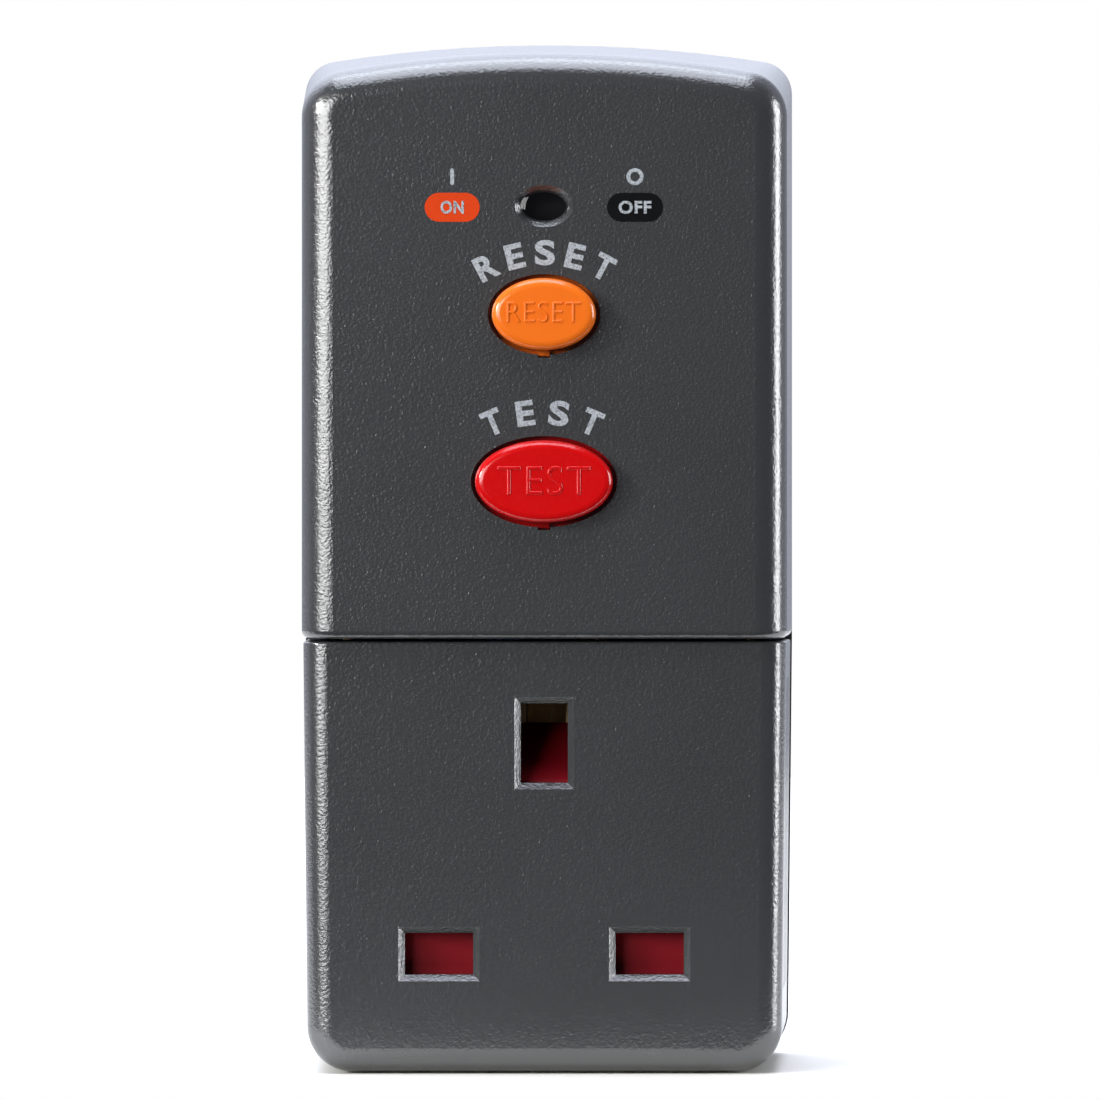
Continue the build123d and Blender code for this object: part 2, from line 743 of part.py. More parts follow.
with BuildPart() as toroid_winding:
    ring_middle = (toroid_bore + toroid_radius) / 2
    ring_width = toroid_radius - toroid_bore + 2 * running
    ring_height = toroid_height + 2 * running
    wound = 2 * winding_thickness
    with BuildSketch(Plane.XZ) as turn_section:
        with Locations((ring_middle, (toroid_low + toroid_high) / 2)):
            Rectangle(ring_width + wound, ring_height + wound)
            Rectangle(ring_width, ring_height, mode=Mode.SUBTRACT)
    revolve(turn_section.sketch, axis=Axis.Z, revolution_arc=winding_turn)
winding_solid = Pos(0, -toroid_depth, 0) * Rot(0, 0, winding_turn / 2) * toroid_winding.part
winding_solid.label = "toroid_winding"
export_step(winding_solid, "parts/toroid_winding.step")

with BuildPart() as toroid_holder:
    add_block(-pillar_far, pillar_far, toroid_low, toroid_high, board_front, cradle_front)
    for side in (-1, 1):
        add_side_block(side, pillar_near, pillar_far, toroid_low, toroid_high,
                       board_front, leaf_rear)
    add_upright_round(0, toroid_depth, toroid_radius + winding_thickness + cradle_gap,
                      toroid_low, toroid_high, mode=Mode.SUBTRACT)
toroid_holder.part.label = "toroid_holder"
export_step(toroid_holder.part, "parts/toroid_holder.step")

# Test leaf: thin spring strip across the cradle's pillars, with a tongue under the stem
leaf_tongue_half = 2.5
leaf_tongue_top = 53.0

with BuildPart() as test_leaf:
    add_block(-pillar_far, pillar_far, toroid_low, toroid_high, leaf_rear, leaf_front)
    add_block(-leaf_tongue_half, leaf_tongue_half, toroid_high, leaf_tongue_top,
              leaf_rear, leaf_front)
test_leaf.part.label = "test_leaf"
export_step(test_leaf.part, "parts/test_leaf.step")

# Circuit board with its screws; the upper pair also hold the mechanism frame
with BuildPart() as circuit_board:
    add_block(-board_half_width, board_half_width, board_low, board_high,
              board_rear, board_front)
    for x, z in board_screw_places:
        add_round(x, z, small_shank + fit_gap, board_rear, board_front, mode=Mode.SUBTRACT)
circuit_board.part.label = "circuit_board"
export_step(circuit_board.part, "parts/circuit_board.step")

with BuildPart() as board_screws:
    for number, (x, z) in enumerate(board_screw_places):
        seat = board_front if number < 2 else frame_base_front
        add_round(x, z, small_shank, rear_wall, seat)
        add_round(x, z, small_head, seat, seat + small_head_height)
board_screws.part.label = "board_screws"
export_step(board_screws.part, "parts/board_screws.step")

# Mechanism frame: base on the board, guide posts, and towers under the fixed contacts
frame_low = 57.6
guide_top = 30.0
load_tower_half = 1.6
load_tower_high = 60.2
latch_bridge_step = 4.0
latch_x = -(bridge_x - latch_bridge_step)
latch_z = 59.5
latch_pin_radius = 0.8
latch_pin_rear = 9.0

with BuildPart() as mechanism_frame:
    add_block(-frame_half_width, frame_half_width, frame_low, board_high,
              board_front, frame_base_front)
    for side in (-1, 1):
        add_side_block(side, frame_half_width - overrun, tower_far, supply_z - half_bar,
                       supply_z + half_bar, board_front, frame_base_front)
        add_side_block(side, tower_near, tower_far, supply_z - half_bar,
                       supply_z + half_bar, frame_base_front, bar_rear)
        add_side_block(side, bridge_x - load_tower_half, bridge_x + load_tower_half,
                       frame_low, load_tower_high, frame_base_front, bar_rear)
        add_round(side * guide_x, reset_z, guide_radius, frame_base_front, guide_top)
    for x, z in board_screw_places[2:]:
        add_round(x, z, small_shank + fit_gap, board_front, frame_base_front,
                  mode=Mode.SUBTRACT)
    add_round(latch_x, latch_z, latch_pin_radius + running, latch_pin_rear,
              frame_base_front, mode=Mode.SUBTRACT)
mechanism_frame.part.label = "mechanism_frame"
export_step(mechanism_frame.part, "parts/mechanism_frame.step")

# Flag: drum behind the window with a tail, an orange band and a hinge pin
flag_radius = 6.0
flag_lens_gap = 0.7
lens_flange = 0.8
drum_half_width = 2.9
drum_hub = 1.9
drum_core = 1.0
band_thickness = 0.45
black_half_angle = 18
flag_turn = 36
flag_pin_radius = 0.8
flag_pin_half = 6.0
flag_tail_half = 0.6
flag_tail_length = 4.2
ear_near = 4.2
ear_far = 6.0
ear_margin = 2.0
deck_low = 44.0
deck_top = 72.5
deck_half_width = 14.0
flag_depth = control_inner - lens_flange - flag_lens_gap - flag_radius
flag_tail_rear = flag_depth - flag_tail_half


def add_drum_sector(inner, outer, low_angle, high_angle):
    """Ring sector about the flag pin; zero degrees points to the window, up is plus."""
    centre = Vector(-flag_depth, window_z)

    def spot(radius, angle):
        return centre + Vector(-radius, 0).rotate(Axis.Z, -angle)

    middle = (low_angle + high_angle) / 2
    with BuildSketch(Plane.YZ.offset(-drum_half_width)) as profile:
        with BuildLine():
            ThreePointArc(spot(outer, low_angle), spot(outer, middle), spot(outer, high_angle))
            Line(spot(outer, high_angle), spot(inner, high_angle))
            ThreePointArc(spot(inner, high_angle), spot(inner, middle), spot(inner, low_angle))
            Line(spot(inner, low_angle), spot(outer, low_angle))
        make_face()
    extrude(profile.sketch, amount=2 * drum_half_width)


low_end = -black_half_angle - flag_turn

with BuildPart() as flag_drum:
    add_cross_round(flag_depth, window_z, drum_hub, -drum_half_width, drum_half_width)
    add_drum_sector(drum_core, flag_radius - band_thickness, low_end, black_half_angle)
    add_drum_sector(drum_core, flag_radius, -black_half_angle, black_half_angle)
    add_block(-tail_half, tail_half, window_z - flag_tail_length, window_z,
              flag_tail_rear, flag_depth + flag_tail_half)
    add_cross_round(flag_depth, window_z, flag_pin_radius + running,
                    -drum_half_width, drum_half_width, mode=Mode.SUBTRACT)
flag_drum.part.label = "flag_drum"
export_step(flag_drum.part, "parts/flag_drum.step")

band_gap_angle = 0.5

with BuildPart() as flag_band:
    add_drum_sector(flag_radius - band_thickness + running, flag_radius,
                    low_end, -black_half_angle - band_gap_angle)
flag_band.part.label = "flag_band"
export_step(flag_band.part, "parts/flag_band.step")

with BuildPart() as flag_pin:
    add_cross_round(flag_depth, window_z, flag_pin_radius, -flag_pin_half, flag_pin_half)
flag_pin.part.label = "flag_pin"
export_step(flag_pin.part, "parts/flag_pin.step")

# Button deck: plate on the cover's posts, seat of both button springs, ears for the flag
stem_hole = 1.8

with BuildPart() as button_deck:
    add_block(-deck_half_width, deck_half_width, deck_low, deck_top, deck_rear, deck_front)
    for side in (-1, 1):
        add_side_block(side, ear_near, ear_far, deck_top - ear_margin,
                       window_z + ear_margin, flag_depth - ear_margin + strip / 2,
                       deck_front)
    for z in (reset_z, test_z):
        add_round(0, z, stem_hole, deck_rear, deck_front, mode=Mode.SUBTRACT)
    for x, z in deck_post_places:
        add_round(x, z, small_shank + fit_gap, deck_rear, deck_front, mode=Mode.SUBTRACT)
    add_cross_round(flag_depth, window_z, flag_pin_radius + running,
                    -flag_pin_half - overrun, flag_pin_half + overrun, mode=Mode.SUBTRACT)
button_deck.part.label = "button_deck"
export_step(button_deck.part, "parts/button_deck.step")

deck_screw_length = 3.5

with BuildPart() as deck_screws:
    for x, z in deck_post_places:
        add_round(x, z, small_head, deck_rear - small_head_height, deck_rear)
        add_round(x, z, small_shank, deck_rear, deck_front + deck_screw_length)
deck_screws.part.label = "deck_screws"
export_step(deck_screws.part, "parts/deck_screws.step")

# Contact carrier: slide on the two guide posts, bored for the stem, with the flag arm
carrier_half_width = 11.0
carrier_low = 62.4
carrier_high = 73.0
wing_reach = bridge_x + half_bar
wing_half = 3.0
arm_low = 73.9
arm_high = 75.0

with BuildPart() as contact_carrier:
    add_block(-carrier_half_width, carrier_half_width, carrier_low, carrier_high,
              carrier_rear, carrier_front)
    add_block(-wing_reach, wing_reach, reset_z - wing_half, reset_z + wing_half,
              carrier_rear, carrier_front)
    add_block(-tail_half, tail_half, carrier_high - overrun, arm_high,
              carrier_rear, carrier_front)
    add_block(-tail_half, tail_half, arm_low, arm_high,
              carrier_rear, flag_tail_rear - loose_gap)
    add_round(0, reset_z, stem_radius + running, carrier_rear, carrier_front,
              mode=Mode.SUBTRACT)
    for side in (-1, 1):
        add_round(side * guide_x, reset_z, guide_radius + running, carrier_rear,
                  carrier_front, mode=Mode.SUBTRACT)
contact_carrier.part.label = "contact_carrier"
export_step(contact_carrier.part, "parts/contact_carrier.step")

# Buttons: oval cap, retaining flange, locating key and a stem through the deck
cap_edge = 0.9
flange_thickness = 1.0
flange_margin = 0.9
key_clearance = 0.2
key_setback = 1.5
stem_overlap = 1.5
flange_front = control_inner - fit_gap
flange_rear = flange_front - flange_thickness


def make_button(name, z, width, height, proud, stem_end):
    """One push button, written under its name."""
    with BuildPart() as button:
        add_oval(z, width, height, flange_rear, control_depth + proud)
        fillet(button.faces().sort_by(Axis.Y)[0].edges(), cap_edge)
        add_oval(z, width + 2 * flange_margin, height + 2 * flange_margin,
                 flange_rear, flange_front)
        key_half = key_width / 2 - key_clearance / 2
        key_low = z - height / 2 - well_gap - key_height + key_clearance
        add_block(-key_half, key_half, key_low, z, flange_rear,
                  control_depth - key_setback)
        add_round(0, z, stem_radius, stem_end, flange_rear)
    button.part.label = name
    export_step(button.part, "parts/" + name + ".step")


make_button("reset_button", reset_z, reset_width, reset_height, reset_proud,
            carrier_front - stem_overlap)
make_button("test_button", test_z, test_width, test_height, test_proud,
            leaf_front + test_travel + loose_gap)

# Button and opening springs, round the stems
spring_wire = 0.55
button_spring_radius = 2.9
opening_spring_radius = 3.4


def make_stem_spring(name, z, radius, rear, front):
    """Coil spring round a stem, as the sleeve that its turns fill."""
    with BuildPart() as spring:
        add_round(0, z, radius, rear, front)
        add_round(0, z, radius - spring_wire, rear, front, mode=Mode.SUBTRACT)
    spring.part.label = name
    export_step(spring.part, "parts/" + name + ".step")


make_stem_spring("reset_spring", reset_z, button_spring_radius, deck_front, flange_rear)
make_stem_spring("test_spring", test_z, button_spring_radius, deck_front, flange_rear)
make_stem_spring("opening_spring", reset_z, opening_spring_radius, carrier_front, deck_rear)

# Window lens: oval plug with a domed front and a flange behind the cover
lens_flange_margin = 1.2
lens_setback = 0.35
lens_dome = 0.7

with BuildPart() as window_lens:
    add_oval(window_z, window_width, window_height, control_inner - lens_flange,
             control_depth - lens_setback)
    fillet(window_lens.faces().sort_by(Axis.Y)[0].edges(), lens_dome)
    add_oval(window_z, window_width + 2 * lens_flange_margin,
             window_height + 2 * lens_flange_margin,
             control_inner - lens_flange, control_inner)
window_lens.part.label = "window_lens"
export_step(window_lens.part, "parts/window_lens.step")

# Solenoid: yoke on the board, bobbin, coil, and a plunger with its return spring
solenoid_latch_step = 6.0
solenoid_x = latch_x + solenoid_latch_step
solenoid_depth = 12.5
yoke_half_width = 4.5
yoke_plate = 1.0
yoke_back = 0.6
yoke_front = 16.8
bobbin_low = 45.5
bobbin_high = 56.3
bobbin_flange = 4.2
bobbin_flange_thickness = 0.8
bobbin_tube = 2.1
plunger_radius = 1.5
plunger_tip_radius = 0.6
plunger_spring_length = 3.3
plunger_reach = 1.1
plunger_shoulder = bobbin_high - plunger_spring_length
plunger_tip_top = bobbin_high + yoke_plate + plunger_reach
coil_radius = 3.9
plunger_spring_radius = 1.3
plunger_spring_bore = 0.75

with BuildPart() as solenoid_frame:
    add_block(solenoid_x - yoke_half_width, solenoid_x + yoke_half_width,
              bobbin_low - yoke_plate, bobbin_high + yoke_plate, board_front, yoke_front)
    add_block(solenoid_x - yoke_half_width, solenoid_x + yoke_half_width,
              bobbin_low, bobbin_high, board_front + yoke_back, yoke_front,
              mode=Mode.SUBTRACT)
    add_upright_round(solenoid_x, solenoid_depth, plunger_tip_radius + running,
                      bobbin_high, bobbin_high + yoke_plate, mode=Mode.SUBTRACT)
solenoid_frame.part.label = "solenoid_frame"
export_step(solenoid_frame.part, "parts/solenoid_frame.step")

with BuildPart() as solenoid_bobbin:
    add_upright_round(solenoid_x, solenoid_depth, bobbin_tube, bobbin_low, bobbin_high)
    add_upright_round(solenoid_x, solenoid_depth, bobbin_flange, bobbin_low,
                      bobbin_low + bobbin_flange_thickness)
    add_upright_round(solenoid_x, solenoid_depth, bobbin_flange,
                      bobbin_high - bobbin_flange_thickness, bobbin_high)
    add_upright_round(solenoid_x, solenoid_depth, plunger_radius + running,
                      bobbin_low, bobbin_high, mode=Mode.SUBTRACT)
solenoid_bobbin.part.label = "solenoid_bobbin"
export_step(solenoid_bobbin.part, "parts/solenoid_bobbin.step")

with BuildPart() as solenoid_coil:
    coil_low = bobbin_low + bobbin_flange_thickness + running
    coil_high = bobbin_high - bobbin_flange_thickness - running
    add_upright_round(solenoid_x, solenoid_depth, coil_radius, coil_low, coil_high)
    add_upright_round(solenoid_x, solenoid_depth, bobbin_tube + running,
                      coil_low, coil_high, mode=Mode.SUBTRACT)
solenoid_coil.part.label = "solenoid_coil"
export_step(solenoid_coil.part, "parts/solenoid_coil.step")

with BuildPart() as trip_plunger:
    add_upright_round(solenoid_x, solenoid_depth, plunger_radius,
                      bobbin_low + fit_gap, plunger_shoulder)
    add_upright_round(solenoid_x, solenoid_depth, plunger_tip_radius,
                      plunger_shoulder, plunger_tip_top)
trip_plunger.part.label = "trip_plunger"
export_step(trip_plunger.part, "parts/trip_plunger.step")

with BuildPart() as plunger_spring:
    add_upright_round(solenoid_x, solenoid_depth, plunger_spring_radius,
                      plunger_shoulder, bobbin_high)
    add_upright_round(solenoid_x, solenoid_depth, plunger_spring_bore,
                      plunger_shoulder, bobbin_high, mode=Mode.SUBTRACT)
plunger_spring.part.label = "plunger_spring"
export_step(plunger_spring.part, "parts/plunger_spring.step")

# Latch lever: knocked by the plunger, with a nib beside the carrier, on its own pin
latch_rear = 11.5
latch_thickness = 2.0
latch_hub = 1.9
latch_arm_half = 0.8
latch_tail_reach = 7.5
latch_nib_low = 62.45
latch_nib_high = 63.7
latch_nib_gap = 0.4
latch_nib_width = 1.5
latch_nib_front = 19.2
latch_pin_head = 1.3
latch_pin_head_height = 0.8
latch_front = latch_rear + latch_thickness

with BuildPart() as latch_lever:
    nib_right = -carrier_half_width - latch_nib_gap
    add_round(latch_x, latch_z, latch_hub, latch_rear, latch_front)
    add_block(latch_x, latch_x + latch_tail_reach, latch_z - latch_arm_half,
              latch_z + latch_arm_half, latch_rear, latch_front)
    add_block(latch_x - latch_arm_half, latch_x + latch_arm_half, latch_z,
              latch_nib_high, latch_rear, latch_front)
    add_block(latch_x - latch_arm_half, nib_right, latch_nib_low, latch_nib_high,
              latch_rear, latch_front)
    add_block(nib_right - latch_nib_width, nib_right, latch_nib_low, latch_nib_high,
              latch_front, latch_nib_front)
    add_round(latch_x, latch_z, latch_pin_radius + running, latch_rear, latch_front,
              mode=Mode.SUBTRACT)
latch_lever.part.label = "latch_lever"
export_step(latch_lever.part, "parts/latch_lever.step")

with BuildPart() as latch_pin:
    add_round(latch_x, latch_z, latch_pin_radius, latch_pin_rear, latch_front + fit_gap)
    add_round(latch_x, latch_z, latch_pin_head, latch_front + fit_gap,
              latch_front + fit_gap + latch_pin_head_height)
latch_pin.part.label = "latch_pin"
export_step(latch_pin.part, "parts/latch_pin.step")

# Parts on the board: control chip, capacitor, varistor, diodes and resistors
chip_box = (-16.8, -12.8, 47.0, 53.0)
chip_height = 1.8
capacitor_box = (2.5, 10.5, 46.5, 55.5)
capacitor_height = 8.0
capacitor_edge = 0.8
varistor_x = 11.8
varistor_thickness = 2.2
varistor_radius = 3.6
varistor_z = 50.0
varistor_lift = 0.8
varistor_leg = 0.35
varistor_leg_spread = 1.8
small_part_low = 35.4
small_part_high = 38.6
diode_places = (12.2, 14.2, 16.2)
diode_radius = 0.8
resistor_places = (-16.4, -14.8, -13.2, -11.6)
resistor_radius = 0.6
test_resistor_x = 15.8
test_resistor_radius = 1.2
test_resistor_low = 44.5
test_resistor_high = 51.5

with BuildPart() as control_chip:
    add_block(*chip_box, board_front, board_front + chip_height)
control_chip.part.label = "control_chip"
export_step(control_chip.part, "parts/control_chip.step")

with BuildPart() as capacitor:
    add_block(*capacitor_box, board_front, board_front + capacitor_height)
    fillet(capacitor.faces().sort_by(Axis.Y)[0].edges(), capacitor_edge)
capacitor.part.label = "capacitor"
export_step(capacitor.part, "parts/capacitor.step")

with BuildPart() as varistor:
    varistor_depth = board_front + varistor_lift + varistor_radius
    add_cross_round(varistor_depth, varistor_z, varistor_radius, varistor_x,
                    varistor_x + varistor_thickness)
    for z in (varistor_z - varistor_leg_spread, varistor_z + varistor_leg_spread):
        add_round(varistor_x + varistor_thickness / 2, z, varistor_leg,
                  board_front, varistor_depth)
varistor.part.label = "varistor"
export_step(varistor.part, "parts/varistor.step")


def make_rolled_parts(name, places, radius, low, high):
    """Small round parts lying on the board, as one group."""
    with BuildPart() as group:
        for x in places:
            add_upright_round(x, board_front + radius + running, radius, low, high)
    group.part.label = name
    export_step(group.part, "parts/" + name + ".step")


make_rolled_parts("diodes", diode_places, diode_radius, small_part_low, small_part_high)
make_rolled_parts("resistors", resistor_places, resistor_radius, small_part_low,
                  small_part_high)
make_rolled_parts("test_resistor", (test_resistor_x,), test_resistor_radius,
                  test_resistor_low, test_resistor_high)
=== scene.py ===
import math
import bmesh
import bpy
from mathutils import Matrix, Vector
from mathutils.bvhtree import BVHTree


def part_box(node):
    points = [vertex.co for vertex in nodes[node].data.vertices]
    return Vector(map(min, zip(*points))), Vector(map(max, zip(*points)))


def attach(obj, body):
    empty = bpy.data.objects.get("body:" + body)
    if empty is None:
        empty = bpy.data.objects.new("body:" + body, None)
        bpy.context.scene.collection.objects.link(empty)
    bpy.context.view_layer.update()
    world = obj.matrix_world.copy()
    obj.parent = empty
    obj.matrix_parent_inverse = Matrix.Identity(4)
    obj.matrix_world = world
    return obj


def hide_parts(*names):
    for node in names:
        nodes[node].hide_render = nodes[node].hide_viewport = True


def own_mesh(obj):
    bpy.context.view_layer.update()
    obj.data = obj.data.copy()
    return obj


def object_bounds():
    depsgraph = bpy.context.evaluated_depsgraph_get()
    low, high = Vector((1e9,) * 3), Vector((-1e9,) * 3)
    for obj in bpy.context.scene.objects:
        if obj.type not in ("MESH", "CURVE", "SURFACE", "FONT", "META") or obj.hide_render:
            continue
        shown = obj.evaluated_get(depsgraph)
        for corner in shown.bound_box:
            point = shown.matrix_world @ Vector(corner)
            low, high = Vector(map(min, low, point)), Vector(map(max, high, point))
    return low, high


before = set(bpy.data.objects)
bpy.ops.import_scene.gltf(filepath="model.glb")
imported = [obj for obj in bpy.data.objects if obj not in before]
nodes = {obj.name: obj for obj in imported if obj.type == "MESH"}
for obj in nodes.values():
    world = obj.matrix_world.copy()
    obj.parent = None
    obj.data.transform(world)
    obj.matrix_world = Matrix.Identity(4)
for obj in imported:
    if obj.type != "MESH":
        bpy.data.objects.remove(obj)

cad_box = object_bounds()
scene = bpy.context.scene

# Casing: a rear tray and two front covers, injection moulded in dark charcoal plastic.
# The tools are spark eroded, which leaves a fine even grain over faces and edges, so
# that every highlight along a rounded edge breaks up into small grains. A moulding's
# streaks, pits and dust are sized by its grain.
casing_colour = (0.033, 0.0345, 0.036, 1.0)
casing_streak = (0.041, 0.043, 0.045, 1.0)
casing_roughness = 0.21
casing_grain = 0.00032
casing_grain_depth = 0.000046
streak_scale = 0.025
dust_scale = 2.2
pit_share = 0.7
dust_gloss = 0.16


class Tone:
    """A socket of one material. Sums on it add Math nodes, and node() adds any other."""

    def __init__(self, tree, socket=None):
        self.tree = tree
        self.socket = socket

    def node(self, kind, sockets=(), output=0, **settings):
        """Adds a node, sets it up, fills its sockets and returns one of its outputs."""
        made = self.tree.nodes.new(kind)
        for name, value in settings.items():
            setattr(made, name, value)
        for key, value in dict(sockets).items():
            self.fill(made.inputs[key], value)
        return Tone(self.tree, made.outputs[output])

    def fill(self, socket, value):
        """Links or sets one socket."""
        if isinstance(value, Tone):
            self.tree.links.new(value.socket, socket)
        else:
            socket.default_value = value

    def maths(self, operation, first, second=0.0):
        return self.node("ShaderNodeMath", {0: first, 1: second}, operation=operation)

    def __add__(self, other):
        return self.maths("ADD", self, other)

    def __sub__(self, other):
        return self.maths("SUBTRACT", self, other)

    def __rsub__(self, other):
        return self.maths("SUBTRACT", other, self)

    def __mul__(self, other):
        return self.maths("MULTIPLY", self, other)

    __radd__ = __add__
    __rmul__ = __mul__

    def between(self, low, high):
        """Colour from low to high as this value goes from 0 to 1. A Mix node's colours
        are its inputs 6 and 7, and its output 2."""
        return self.node("ShaderNodeMix", {0: self, 6: low, 7: high}, output=2,
                         data_type="RGBA")


def new_finish(name, **fixed):
    """New material, its shader's sockets and a Tone to draw with; fixed sets sockets."""
    material = bpy.data.materials.new(name)
    material.use_nodes = True
    surface = material.node_tree.nodes["Principled BSDF"].inputs
    for socket, value in fixed.items():
        surface[socket.replace("_", " ").title().replace("Ior", "IOR")].default_value = value
    return material, surface, Tone(material.node_tree)


def moulded_plastic(name, colour, streak, roughness, grain, depth, **fixed):
    """Plastic with a slight flow mottle in its colour and an eroded grain in its skin."""
    material, surface, pen = new_finish(name, **fixed)
    place = pen.node("ShaderNodeTexCoord", output="Object")
    flow, pits, dust = (
        pen.node("ShaderNodeTexNoise", {"Vector": place, "Scale": scale / grain,
                                        "Detail": detail})
        for scale, detail in ((streak_scale, 3.0), (1.0, 1.0), (dust_scale, 1.0)))
    pen.fill(surface["Base Color"], flow.between(colour, streak))
    pen.fill(surface["Roughness"], dust * dust_gloss + (roughness - dust_gloss / 2))
    pen.fill(surface["Normal"], pen.node("ShaderNodeBump", {
        "Height": pits * pit_share + dust * (1 - pit_share), "Distance": depth,
        "Strength": 1.0}))
    return material


def dress(material, *names):
    """Gives CAD nodes a material."""
    for name in names:
        for holder in nodes[name].material_slots:
            holder.material = material


casing = moulded_plastic("charcoal_casing", casing_colour, casing_streak,
                         casing_roughness, casing_grain, casing_grain_depth,
                         specular_ior_level=1.0, ior=1.6)
dress(casing, "rear_housing", "control_cover", "socket_cover")

# Screws: pan heads with a cross recess, cold headed in steel and zinc plated. Four
# close the casing from the rear, and smaller ones hold the retainer, board and deck.
zinc_colour = (0.50, 0.50, 0.47, 1.0)
zinc_bloom = (0.66, 0.64, 0.56, 1.0)
scratch_depth = 0.000004
scratch_gloss = 0.25
cloud_gloss = 0.12
middle_gloss = 0.18


def plated_metal(name, colour, bloom, roughness, patch, scratch, **fixed):
    """Metal with cloudy plating or tarnish, and fine scratches along one direction."""
    material, surface, pen = new_finish(name, metallic=1.0, **fixed)
    place = pen.node("ShaderNodeTexCoord", output="Object")
    cloud = pen.node("ShaderNodeTexNoise", {"Vector": place, "Scale": 1.0 / patch,
                                            "Detail": 4.0})
    drawn = pen.node("ShaderNodeMapping", {"Vector": place, "Scale": scratch})
    lines = pen.node("ShaderNodeTexNoise", {"Vector": drawn, "Scale": 1.0, "Detail": 3.0})
    pen.fill(surface["Base Color"], cloud.between(colour, bloom))
    pen.fill(surface["Roughness"], lines * scratch_gloss + cloud * cloud_gloss
             + (roughness - middle_gloss))
    pen.fill(surface["Normal"], pen.node("ShaderNodeBump", {
        "Height": lines, "Distance": scratch_depth, "Strength": 0.7}))
    return material


zinc = plated_metal("zinc_plating", zinc_colour, zinc_bloom, roughness=0.34,
                    patch=0.002, scratch=(4000.0, 4000.0, 900.0))
dress(zinc, "case_screws", "retainer_screws", "board_screws", "deck_screws", "latch_pin")

# Plug pins: solid brass bars, drawn to section, with bevelled tips. Fine lines run
# along each bar, and handling has left duller patches on it.
brass_colour = (0.83, 0.61, 0.29, 1.0)
brass_tarnish = (0.62, 0.43, 0.19, 1.0)
pin_brass = plated_metal("drawn_brass", brass_colour, brass_tarnish, roughness=0.3,
                         patch=0.006, scratch=(5200.0, 160.0, 5200.0))
dress(pin_brass, "live_pin", "neutral_pin", "earth_pin")

# Pin sleeves and retainer: black insulating mouldings. The sleeves are shrunk on the
# flat pins' roots, and the retainer plate clamps the pin heads in the tray.
sleeve_colour = (0.012, 0.012, 0.013, 1.0)
sleeve_streak = (0.02, 0.02, 0.022, 1.0)
sleeve = moulded_plastic("sleeve_black", sleeve_colour, sleeve_streak, roughness=0.4,
                         grain=0.0003, depth=0.000006)
dress(sleeve, "live_pin_sleeve", "neutral_pin_sleeve", "pin_retainer")

# Socket block: the thick dark moulding behind the lower cover that holds the three
# clips and guides the shutter, left as it came from the tool.
block_colour = (0.03, 0.031, 0.034, 1.0)
block_streak = (0.045, 0.046, 0.05, 1.0)
block = moulded_plastic("block_grey", block_colour, block_streak, roughness=0.45,
                        grain=0.0005, depth=0.00001)
dress(block, "socket_block")

# Clips, strap, bars, bridges and test leaf: stamped from brass strip, so that their
# grain runs up the strip, with a slight stain from the press oil.
strip_colour = (0.79, 0.56, 0.27, 1.0)
strip_stain = (0.66, 0.42, 0.2, 1.0)
strip_brass = plated_metal("stamped_brass", strip_colour, strip_stain, roughness=0.32,
                           patch=0.004, scratch=(3600.0, 3600.0, 140.0))
dress(strip_brass, "live_contact", "neutral_contact", "earth_contact", "earth_strap",
      "live_supply_bar", "neutral_supply_bar", "live_load_bar", "neutral_load_bar",
      "live_bridge", "neutral_bridge", "test_leaf")

# Shutter: one deep red moulding behind the apertures, polished where the pins slide
# on it, so its skin is smoother than the casing's.
shutter_colour = (0.15, 0.003, 0.007, 1.0)
shutter_streak = (0.18, 0.004, 0.009, 1.0)
shutter_red = moulded_plastic("shutter_red", shutter_colour, shutter_streak,
                              roughness=0.4, grain=0.0006, depth=0.000006,
                              specular_ior_level=0.15)
dress(shutter_red, "shutter")

# Springs: coiled from drawn steel wire. Each one takes the place of a plain sleeve: two
# under the buttons, one that opens the contacts, one under the shutter and one on the trip
# plunger.
wire_colour = (0.55, 0.55, 0.56, 1.0)
wire_bloom = (0.68, 0.68, 0.68, 1.0)
spring_steel = plated_metal("spring_wire", wire_colour, wire_bloom, roughness=0.28,
                            patch=0.003, scratch=(2500.0, 2500.0, 2500.0))
steps_in_turn = 28
sides_of_wire = 10
springs = (
    # name, axis, joint, its travel, end that stays, wire radius, turns
    ("reset_spring", "Y", "reset_press", 0.0025, "high", 0.00026, 5),
    ("test_spring", "Y", "test_press", 0.0018, "high", 0.00026, 5),
    ("opening_spring", "Y", "contact_close", 0.0024, "low", 0.00027, 8),
    ("shutter_spring", "Z", "shutter_drop", 0.0061, "low", 0.0002, 14),
    ("plunger_spring", "Z", "plunger_strike", 0.002, "high", 0.00024, 5),
)


